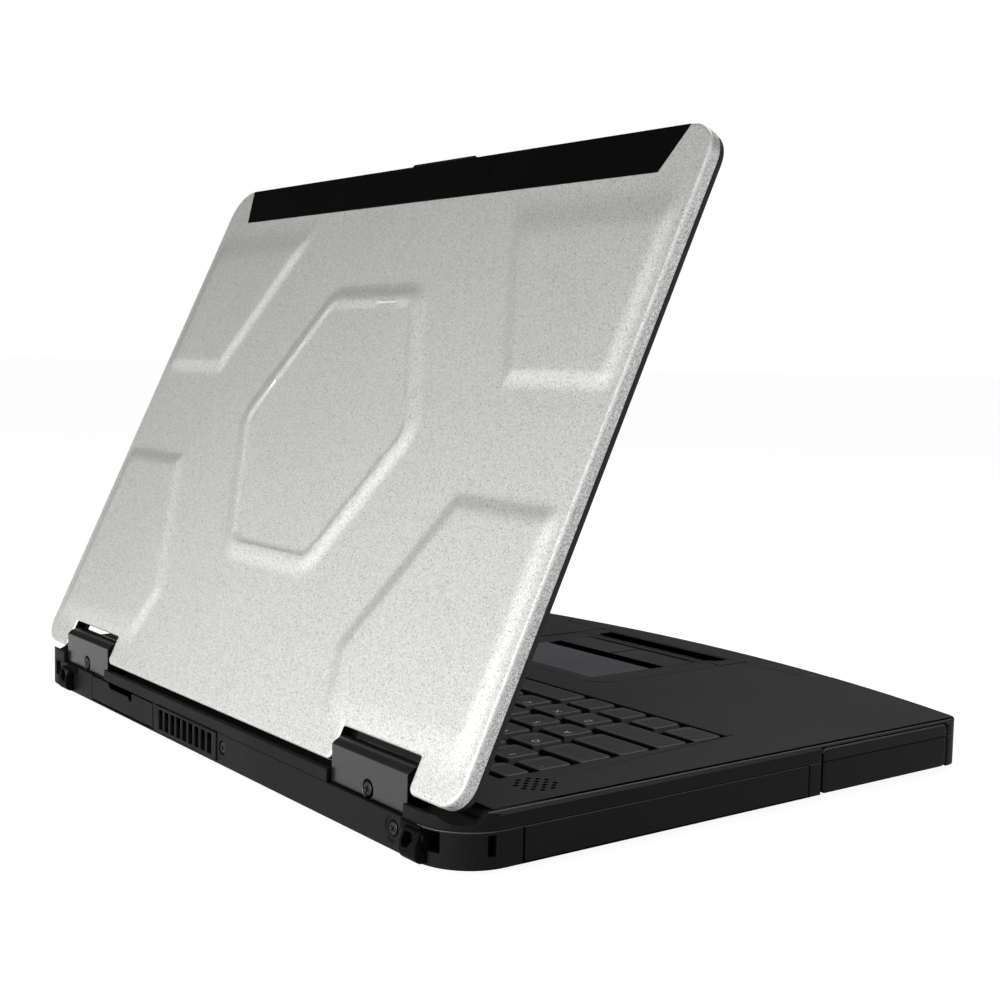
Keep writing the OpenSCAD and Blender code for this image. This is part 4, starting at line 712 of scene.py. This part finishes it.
space_left = [1.178, 0.995, 0.995, 0.995]
space_right = [0.89, 0.89, 0.89, 1, 1]
space_bar = ROW_KEYS - sum(space_left) - sum(space_right) - 1
row_space = filled(space_left + [space_bar] + space_right)
BAR = len(space_left)
key_row("keys_space_row", "front_row", 0, row_space, "",
        [index for index in range(len(row_space)) if index != BAR])
key_row("space_bar", "space_key", 0, row_space, "", [BAR])
key_row("keys_shift_row", "shift_row", 1, filled([2.173] + [1] * 10 + [ROW_KEYS - 13.173]),
        " ZXCVBNM,./")
key_row("keys_caps_row", "middle_row", 2, filled([1.675] + [1] * 11), " ASDFGHJKL;'")
key_row("keys_tab_row", "tab_row", 3, filled([1.44] + [1] * 12), " QWERTYUIOP[]")
key_row("keys_number_row", "number_row", 4, filled([0.943] + [1] * 12), "`1234567890-=")
key_row("keys_function_row", "function_row", TOP_ROW,
        filled([1.02] + [(ROW_KEYS - 1.02) / 15] * 14), "")

# ---------------------------------------------------------------- hinges
# Dark grey painted covers, each screwed over a black barrel with one pan head in a round seat.
# The lid's steel arms turn in the barrels.
COVER_BACK, COVER_X, COVER_ENDS, HINGE_SCREW_Z, SCREW_SEAT_R = 132.94, 120.5, (97, 144), 17.1, 3.3
hinge_paint = moulded("hinge_moulding", grey(24, 25, 26), grey(31, 32, 33), 0.3, 0.01, shine=0.5)


def upright_disc(x, z, r, y0, y1, count=40):
    """A closed disc lying along Y."""
    shape = Shape()
    shape.skin([[(x + px, y, z + pz) for px, pz, _ in disc_ring(r, 0, count)] for y in (y0, y1)])
    return shape


def cover_dark(at, n):
    """Picks a cover's end faces and its screw seat, which are painted as shade."""
    side = abs(at.x)
    in_seat = max(abs(side - COVER_X), abs(at.z - HINGE_SCREW_Z)) < SCREW_SEAT_R + 0.2
    return (abs(n.x) > 0.8 and min(abs(side - end) for end in COVER_ENDS) < 1
            or at.y < COVER_BACK - 0.5 and in_seat)


covers = eased("hinge_covers", 0.3, hinge_paint, "base", 2,
               [upright_disc(x, HINGE_SCREW_Z, SCREW_SEAT_R, COVER_BACK - 0.8, COVER_BACK + 2)
                for x in (-COVER_X, COVER_X)])
# painted shade on the covers' end faces and in their screw seats
shaded(covers, black_and_painted_shade, cover_dark)
eased("hinge_brackets", 0.2, black_and_painted_shade, "base")
screws("hinge_screw_heads", "hinge_screws", 2.5,
       [(x, COVER_BACK - 0.8, HINGE_SCREW_Z) for x in (-COVER_X, COVER_X)])
eased("hinge_arms", 0.1, steel, "lid", 1)

# ---------------------------------------------------------------- lid shell
# Die-cast magnesium shell with silver flake paint: a rounded rim, raised corner panels with
# sloped edges, and a raised hexagon whose inner panel sits a little lower.
# half the width, the length, the heights of the face and of the shell's foot, the rim's radius
LID_X, LID_LEN, FACE, LOW, RIM_R = 171.0, 242.9, 7.3, 2.2, 1.15
# the hinge pins' place, how far along the lid they lie, and how far the open lid leans back
PIVOT_Y, PIVOT_Z, PIVOT_S, LEAN = 127.54, 22.5, 3.385, math.radians(64.7)
# the strip's seat: its height, its slanted ends across, and where it starts along the lid
SEAT, SEAT_X0, SEAT_X1, SEAT_S = 6.4, 149.0, 156.6, 224.25
LATCH_PLACE, LATCH_S = (-28.35, 21.35), 236.15


def on_lid(x, s, t):
    """Across, along from the hinge edge and out from the frame's face, to the open lid's place."""
    y, z = PIVOT_S - s, t - LOW
    return (x, PIVOT_Y + y * math.cos(LEAN) + z * math.sin(LEAN),
            PIVOT_Z - y * math.sin(LEAN) + z * math.cos(LEAN))


def silver_paint():
    """Pale silver paint with fine flakes under a satin lacquer, painted darker and greyer on the
    rim's side as shade.
    """
    f = Finish("silver_paint", Metallic=0.6)
    fleck = f.flakes(2.9)
    tone = f.blend(f.noise(0.012), grey(200, 200, 196), grey(210, 210, 206))
    tone = f.blend(fleck.ramp(0.78, 0.97, 0.0, 0.6), tone, grey(96, 96, 93))
    tone = f.blend(fleck.ramp(0.22, 0.03, 0.0, 0.5), tone, grey(250))
    out = ((f.axis("Y") - PIVOT_Y / 1000) * math.sin(LEAN)
           + (f.axis("Z") - PIVOT_Z / 1000) * math.cos(LEAN))
    # painted shade: the rim's side is darker and greyer than the face
    rim = out.ramp(0.0041, 0.0048, 1.0, 0.0)
    f.set(Base_Color=f.blend(rim, tone, f.blend(fleck, grey(146), grey(236))),
          Roughness=fleck.ramp(0.0, 1.0, 0.4, 0.54))
    f.bumps(fleck, 0.012)
    return f.material


silver = silver_paint()


def ring_distance(points, ring):
    """Signed distance of points to a closed ring, positive inside."""
    a = np.array(ring)
    b = np.roll(a, -1, axis=0)
    best = np.full(len(points), 1e9)
    inside = np.zeros(len(points), bool)
    for p, q in zip(a, b):
        edge = q - p
        if edge @ edge < 1e-9:
            continue
        u = np.clip(((points - p) @ edge) / (edge @ edge), 0, 1)
        best = np.minimum(best, np.linalg.norm(points - p - u[:, None] * edge, axis=1))
        with np.errstate(divide="ignore", invalid="ignore"):
            cross = (p[1] > points[:, 1]) != (q[1] > points[:, 1])
            meets = (q[0] - p[0]) * (points[:, 1] - p[1]) / (q[1] - p[1]) + p[0]
            inside ^= cross & (points[:, 0] < meets)
    return np.where(inside, best, -best)


def rounded_ring(corners, radius, turns=6):
    """A closed ring of straight sides with its corners rounded."""
    ring = []
    n = len(corners)
    for i in range(n):
        before, here, after = (Vector(corners[(i + k) % n]) for k in (-1, 0, 1))
        u, v = (before - here).normalized(), (after - here).normalized()
        run = radius / math.tan(u.angle(v) / 2)
        a, b = here + u * run, here + v * run
        for k in range(turns + 1):
            w = k / turns
            ring.append(tuple(a * (1 - w) ** 2 + here * 2 * w * (1 - w) + b * w * w))
    return ring


# outlines of the hexagon and of the corner panels of one side: across, along
HEX = rounded_ring([(30, 177), (62, 122), (30, 67), (-30, 67), (-62, 122), (-30, 177)], 8)
LOW_PANEL = [(230, 98), (111, 98), (76.5, 38), (84, 16), (92, -30), (230, -30)]
HIGH_PANEL = [(230, 145.5), (111, 145.5), (80, 208), (60, 250), (60, 290), (230, 290)]
# heights, then where the slopes begin and end, measured inwards from the outlines
RAISED, HEX_SUNK, HEX_FOOT, HEX_CREST, PANEL_SLOPE = 1.2, 0.45, -9.5, -1.2, 4.5


def relief(points):
    """Height of the raised panels above the lid's face, in millimetres."""
    x, s = np.abs(points[:, 0]), points[:, 1]
    spot = np.stack([x, s], axis=1)

    def ease(v, low, high):
        w = np.clip((v - low) / (high - low), 0, 1)
        return w - 0.12 * np.sin(2 * np.pi * w)

    d = ring_distance(points, HEX)
    hexagon = RAISED * ease(d, HEX_FOOT, HEX_CREST) - HEX_SUNK * np.clip((d + 0.1) / 0.35, 0, 1)
    panels = RAISED * np.maximum(*(ease(ring_distance(spot, panel), -PANEL_SLOPE, PANEL_SLOPE)
                                   for panel in (LOW_PANEL, HIGH_PANEL)))
    panels = panels * ease(-x, -168.5, -160.0) * ease(-s, -221.0, -200.0) * ease(s, 8.0, 24.0)
    return np.maximum(hexagon * (d > HEX_FOOT), panels)


# the lid's corners: across, along, radius, and 1 for an outer or -1 for an inner corner
LID_CORNERS = [(-LID_X, 0, 10, 1), (-144.45, 0, 3, 1), (-144.45, 12.5, 0.8, -1),
               (-96.55, 12.5, 0.8, -1), (-96.55, 0, 3, 1), (96.55, 0, 3, 1),
               (96.55, 12.5, 0.8, -1), (144.45, 12.5, 0.8, -1), (144.45, 0, 3, 1),
               (LID_X, 0, 10, 1), (LID_X, LID_LEN, 14, 1), (-LID_X, LID_LEN, 14, 1)]
FREE_EDGE, EDGE_STEP = 10, 6


def lid_outline(inset, low=False, pocket=0.0):
    """The lid's edge drawn in by inset: corners rounded, hinge notches and strip ends marked.

    Low down the latch's place is cut out of the free edge, pocket millimetres wider all round.
    """
    ring = []
    for i, (_, _, radius, kind) in enumerate(LID_CORNERS):
        near = [LID_CORNERS[(i + k) % len(LID_CORNERS)] for k in (-1, 0, 1)]
        before, here, after = (Vector(corner[:2]) for corner in near)
        into, out = (here - before).normalized(), (after - here).normalized()
        inward = Vector((-into.y, into.x)) + Vector((-out.y, out.x))
        spot = here + inward * inset
        r = max(radius - kind * inset, 0.05)
        turns = 8 if radius > 5 else 4
        for k in range(turns + 1):
            a = math.radians(90 * k / turns)
            ring.append(spot - into * r * (1 - math.sin(a)) + out * r * (1 - math.cos(a)))
        if i != FREE_EDGE:
            count = max(int((after - here).length / EDGE_STEP), 1)
            for k in range(1, count):
                w = k / count
                ring.append((here + out * radius) * (1 - w) + (after - out * near[2][2]) * w
                            + Vector((-out.y, out.x)) * inset)
            continue
        latch_x0, latch_x1 = LATCH_PLACE
        stops = [(x, False) for x in (SEAT_X1, SEAT_X1, *range(150, 24, -EDGE_STEP), latch_x1)]
        stops += [(x, True) for x in (latch_x1, *range(16, -28, -EDGE_STEP), latch_x0)]
        stops += [(x, False) for x in (latch_x0, *range(-32, -156, -EDGE_STEP),
                                       -SEAT_X1, -SEAT_X1)]
        for x, in_latch in stops:
            edge = LID_LEN - inset
            if low and in_latch:
                edge = LATCH_S - pocket
                x += math.copysign(pocket, x) if x in LATCH_PLACE else 0
            ring.append(Vector((x, edge)))
    return ring


def lid_rings(on_strip):
    """The skin's rings from the inside pocket, round the frame's side and over the rim."""
    rings = []
    for inset, t, low, pocket in ((3.0, 5.8, True, 1.4), (3.0, LOW, True, 1.4),
                                  (0.35, LOW, True, 0), (0.0, LOW + 0.35, True, 0),
                                  (0.0, 6.1, True, 0), (0.0, 6.11, False, 0)):
        rings.append([(p.x, p.y, t) for p in lid_outline(inset, low, pocket)])
    for k in range(1, 8):
        a = math.radians(90 * k / 7)
        inset, t = RIM_R * (1 - math.cos(a)), FACE - RIM_R + RIM_R * math.sin(a)
        full, held = lid_outline(inset), lid_outline(min(inset, 1.0))
        rings.append([(held[i].x, held[i].y, min(t, SEAT)) if on_strip[i] else (p.x, p.y, t)
                      for i, p in enumerate(full)])
    return rings


def shifted(ring, d):
    """A ring or path moved sideways by d."""
    a = np.array(ring, float)
    go = np.roll(a, -1, axis=0) - a
    go /= np.maximum(np.linalg.norm(go, axis=1, keepdims=True), 1e-9)
    side = np.stack([-go[:, 1], go[:, 0]], axis=1)
    both = side + np.roll(side, 1, axis=0)
    both /= np.maximum(np.linalg.norm(both, axis=1, keepdims=True), 1e-9)
    return a + both * d / np.maximum((both * side).sum(axis=1, keepdims=True), 0.5)


def along(path, gap=1.6, closed=True):
    """Points every gap millimetres along a path."""
    out = []
    pairs = list(zip(path, np.roll(path, -1, axis=0)))
    for p, q in pairs if closed else pairs[:-1]:
        n = max(int(np.linalg.norm(q - p) / gap), 1)
        out += [p + (q - p) * k / n for k in range(n)]
    return np.array(out)


def face_points(edge, seat_ring):
    """Points over the lid's face: along the foot and crest of each slope, then a close grid."""
    drawn = [along(shifted(HEX, -d)) for d in (HEX_FOOT, -8.6, -5.3, -1.9, HEX_CREST, -0.1, 0.25)]
    drawn += [along(shifted(panel, d)[:4] * np.array([sign, 1]), closed=False)
              for panel in (LOW_PANEL, HIGH_PANEL) for d in (-4.3, -3.0, 0.0, 3.0, 4.3)
              for sign in (-1, 1)]
    grid_x, grid_s = np.meshgrid(np.arange(-169.5, 170, 1.7), np.arange(1.5, 242, 1.7))
    grid_x[::2] += 0.85
    everything = np.concatenate(drawn + [np.stack([grid_x.ravel(), grid_s.ravel()], axis=1)])
    keep = ring_distance(everything, edge.tolist()) > 0.9
    keep &= np.abs(ring_distance(everything, seat_ring)) > 0.7
    cells, points, cell = {}, [], 0.9
    for p in everything[keep]:
        i, j = int(p[0] / cell), int(p[1] / cell)
        near = [q for a in (-1, 0, 1) for b in (-1, 0, 1) for q in cells.get((i + a, j + b), ())]
        if all((p[0] - q[0]) ** 2 + (p[1] - q[1]) ** 2 >= 0.55 for q in near):
            cells.setdefault((i, j), []).append(p)
            points.append(p)
    return np.array(points)


def lid_mesh():
    """The painted shell as one closed skin: top by triangulation, rim and inside by rings."""
    outline = lid_outline(0)
    marks = [i for i, p in enumerate(outline)
             if p.y > 240 and abs(abs(p.x) - SEAT_X1) < 0.01]
    rings = lid_rings([abs(p.x) < SEAT_X1 + 0.1 and p.y > 240 and i not in (marks[0], marks[3])
                       for i, p in enumerate(outline)])
    edge = np.array([p[:2] for p in rings[-1]])
    edge_t = np.array([p[2] for p in rings[-1]])
    count, edge_s = len(edge), edge[marks[0]][1]

    def slant(sign, k):
        """A point on the seat's slanted end, k sixths of the way in from the edge."""
        return (sign * (SEAT_X1 + (SEAT_X0 - SEAT_X1) * k / 6),
                edge_s + (SEAT_S - edge_s) * k / 6)

    steps = [(-SEAT_X0 + 2 * SEAT_X0 * k / 60, SEAT_S) for k in range(61)]
    upper = np.array([slant(-1, k) for k in range(1, 6)] + steps
                     + [slant(1, k) for k in range(5, 0, -1)])
    inwards = np.stack([-np.sign(upper[:, 0]), np.ones(len(upper))], axis=1) * 0.04
    lower = upper + np.where(np.abs(upper[:, :1]) > SEAT_X0 - 0.1, inwards, [[0.0, 0.04]])
    seat_ring = [tuple(p) for p in upper] + [(SEAT_X1, 241.5), (-SEAT_X1, 241.5)]

    ties = [(i, (i + 1) % count) for i in range(count)]
    for start, a, b in ((count, marks[3], marks[0]), (count + len(upper), marks[2], marks[1])):
        chain = [a] + list(range(start, start + len(upper))) + [b]
        ties += list(zip(chain[:-1], chain[1:]))
    spots = np.concatenate([edge, upper, lower, face_points(edge, seat_ring)])
    got = delaunay_2d_cdt([Vector(p) for p in spots], ties, [], 1, 1e-5)
    flat, faces, origin = np.array([tuple(p) for p in got[0]]), got[2], got[3]
    heights = FACE + relief(flat)
    heights[ring_distance(flat, seat_ring) > 0.3] = SEAT
    for i, source in enumerate(origin):
        for j in source:
            if j < count:
                heights[i] = edge_t[j]
            elif j < count + len(upper):
                heights[i] = FACE + relief(flat[i:i + 1])[0]
            elif j < count + 2 * len(upper):
                heights[i] = SEAT
    shape = Shape()
    shape.skin(rings, head=False)
    shape.add([(p[0], p[1], h) for p, h in zip(flat, heights)], [list(f) for f in faces])
    shape.points = [on_lid(*p) for p in shape.points]
    return shape.mesh("lid_skin", tidy=True)


def in_notch(at, n):
    """Picks the walls of the two hinge notches, which are painted black as shade."""
    y = (at.y - PIVOT_Y) * math.cos(LEAN) - (at.z - PIVOT_Z) * math.sin(LEAN)
    out = (at.y - PIVOT_Y) * math.sin(LEAN) + (at.z - PIVOT_Z) * math.cos(LEAN)
    faces_out = n.y * math.sin(LEAN) + n.z * math.cos(LEAN)
    return y > PIVOT_S - 12.8 and 95 < abs(at.x) < 146 and faces_out < 0.5 and out < 4.6


lid_skin = settle("lid_skin", lid_mesh(), silver, "lid", ["lid_shell"], sharp=30)
# the notch walls are painted black as shade
shaded(lid_skin, black_and_painted_shade, in_notch)

# ---------------------------------------------------------------- aerial strip
# Satin black plastic window along the free edge, which lets the aerials' waves through. Its
# three lengths are clipped in the shell's seat and wrap over the rim.
satin = moulded("strip_moulding", grey(4), grey(9), 0.5, 0.01, shine=0.02)
STRIP_HALF, STRIP_S0, STRIP_S1, STRIP_FOOT, STRIP_TOP = 46.7, 224.4, 242.5, 6.42, FACE + 0.25
# the middle length, eased twice as far in at its low end as at the other
middle = Shape()
middle.skin([[(-STRIP_HALF + 2 * i, STRIP_S0 + i, t), (STRIP_HALF - i, STRIP_S0 + i, t),
              (STRIP_HALF - i, STRIP_S1 - i, t), (-STRIP_HALF + 2 * i, STRIP_S1 - i, t)]
             for i, t in ((0, STRIP_FOOT), (0, STRIP_TOP - 0.35), (0.1, STRIP_TOP - 0.1),
                          (0.35, STRIP_TOP))])
middle.points = [on_lid(*p) for p in middle.points]
settle("strip_mid", middle.mesh("strip_mid", tidy=True), satin, "lid", ["strip_middle"], 0.2)
eased("aerial_strip", 0.2, satin, "lid")

# ---------------------------------------------------------------- display side
# A matt black moulded frame, fixed in the shell, holds the dark display glass. Rubber bumpers
# are pressed in the frame and keep the closed lid off the deck.
bezel = moulded("bezel_moulding", grey(18), grey(26), 0.5, 0.02)
eased("lid_frame", 0.3, bezel, "lid")
glass = Finish("display_glass", Roughness=0.14, Coat_Weight=0.3, Coat_Roughness=0.05)
glass.set(Base_Color=glass.blend(glass.noise(0.01), grey(9, 9, 11), grey(15, 15, 18)))
eased("display_panel", 0, glass.material, "lid")
eased("lid_bumpers", 0.2, rubber, "lid", 1)

# ---------------------------------------------------------------- lid latch
# A black slide behind the frame's free edge with a hook that holds the closed lid. The finger
# bar on it stands 2 mm out of the edge and is pushed sideways to open.
eased("lid_latch", 0.3, satin, "latch")
BAR_X0, BAR_X1, BAR_S0, BAR_S1 = -28.0, 17.0, 243.2, 245.2
finger_bar = Shape()
finger_bar.skin([round_box(BAR_X0 + i, BAR_X1 - i, BAR_S0, BAR_S1 - i, 0.7, t)
                 for i, t in ((0.6, 2.5), (0, 3.1), (0, 5.0), (0.6, 5.6))])
finger_bar.points = [on_lid(*p) for p in finger_bar.points]
settle("latch_bar", finger_bar.mesh("latch_bar", tidy=True), charcoal, "latch")

# ---------------------------------------------------------------- table and lights
# A plain white matt table top in a white room. A small lamp stands low behind the lid, and a
# large soft one hangs high over the front.
def seen_ray(tree, kind):
    """One where a ray of the named kind meets the surface."""
    return tree.node("ShaderNodeLightPath", {}, out="Is " + kind + " Ray")


# half the size in metres, the share of plain white in what is seen, and its strength
TABLE_HALF, TABLE_SHARE, TABLE_WHITE = 30, 0.72, 1.3
top = bpy.data.meshes.new("table")
top.from_pydata([(x * TABLE_HALF, y * TABLE_HALF, 0)
                 for x, y in ((-1, -1), (1, -1), (1, 1), (-1, 1))], [], [(0, 1, 2, 3)])
table = bpy.data.objects.new("table", top)
bpy.context.scene.collection.objects.link(table)
cloth = bpy.data.materials.new("table_white")
cloth.use_nodes = True
cloth.node_tree.nodes.clear()
paint = Tree(cloth.node_tree)
last = cloth.node_tree.nodes.new("ShaderNodeOutputMaterial")
matt = paint.node("ShaderNodeBsdfDiffuse", {}, (0.86, 0.86, 0.86, 1))
glow = paint.node("ShaderNodeEmission", {}, Strength=TABLE_WHITE)
shown = seen_ray(paint, "Camera").at_least(seen_ray(paint, "Glossy")) * TABLE_SHARE
paint.join(last.inputs["Surface"], paint.node("ShaderNodeMixShader", {}, shown, matt, glow))
top.materials.append(cloth)

# the room's own light on the object, and what gloss mirrors low down and high up
AMBIENT, HORIZON, CEILING = 0.2, 1.5, 0.02
studio = bpy.data.worlds.new("studio")
bpy.context.scene.world = studio
studio.use_nodes = True
studio.cycles.sampling_method = "NONE"
air = Tree(studio.node_tree)
way = air.node("ShaderNodeTexCoord", {}, out="Generated")
tilt = air.node("ShaderNodeVectorMath", {"operation": "DOT_PRODUCT"}, way, (1.0, -0.9, 1.0),
                out="Value")
room = air.node("ShaderNodeMix", {}, seen_ray(air, "Glossy"), None, AMBIENT,
                tilt.ramp(0.5, 0.94, HORIZON, CEILING))
level = air.node("ShaderNodeMix", {}, seen_ray(air, "Camera"), None, room, 1.0)
background = studio.node_tree.nodes["Background"]
background.inputs["Color"].default_value = (1, 1, 1, 1)
air.join(background.inputs["Strength"], level)


def lamp(name, place, aim, size, power):
    """A square soft lamp turned towards a spot."""
    light = bpy.data.lights.new(name, "AREA")
    light.size, light.energy = size, power
    holder = bpy.data.objects.new(name, light)
    bpy.context.scene.collection.objects.link(holder)
    holder.location = place
    holder.rotation_euler = (Vector(aim) - Vector(place)).to_track_quat("-Z", "Y").to_euler()


lamp("back_lamp", (-0.11, 0.67, 0.07), (-0.07, 0.13, 0.07), 0.22, 4.0)
lamp("top_lamp", (0.25, -0.7, 1.2), (0, -0.05, 0.02), 0.8, 7.8)

# ---------------------------------------------------------------- camera
# It stands behind the left back corner, a little above the table. Its three directions are
# written out: to its right, up, and back from the object.
view = bpy.data.cameras.new("view")
view.sensor_width = 36.0
view.lens = 54.483
view.clip_start, view.clip_end = 0.01, 30
camera = bpy.data.objects.new("view", view)
bpy.context.scene.collection.objects.link(camera)
across = (-0.601889, -0.798281, 0.021845)
over = (0.086997, -0.038353, 0.995470)
behind = (-0.793827, 0.601063, 0.092532)
camera.matrix_world = (Matrix.Translation((-0.536484, 0.395604, 0.159649))
                       @ Matrix((across, over, behind)).transposed().to_4x4())
bpy.context.scene.camera = camera
bpy.context.scene.view_settings.view_transform = "Standard"
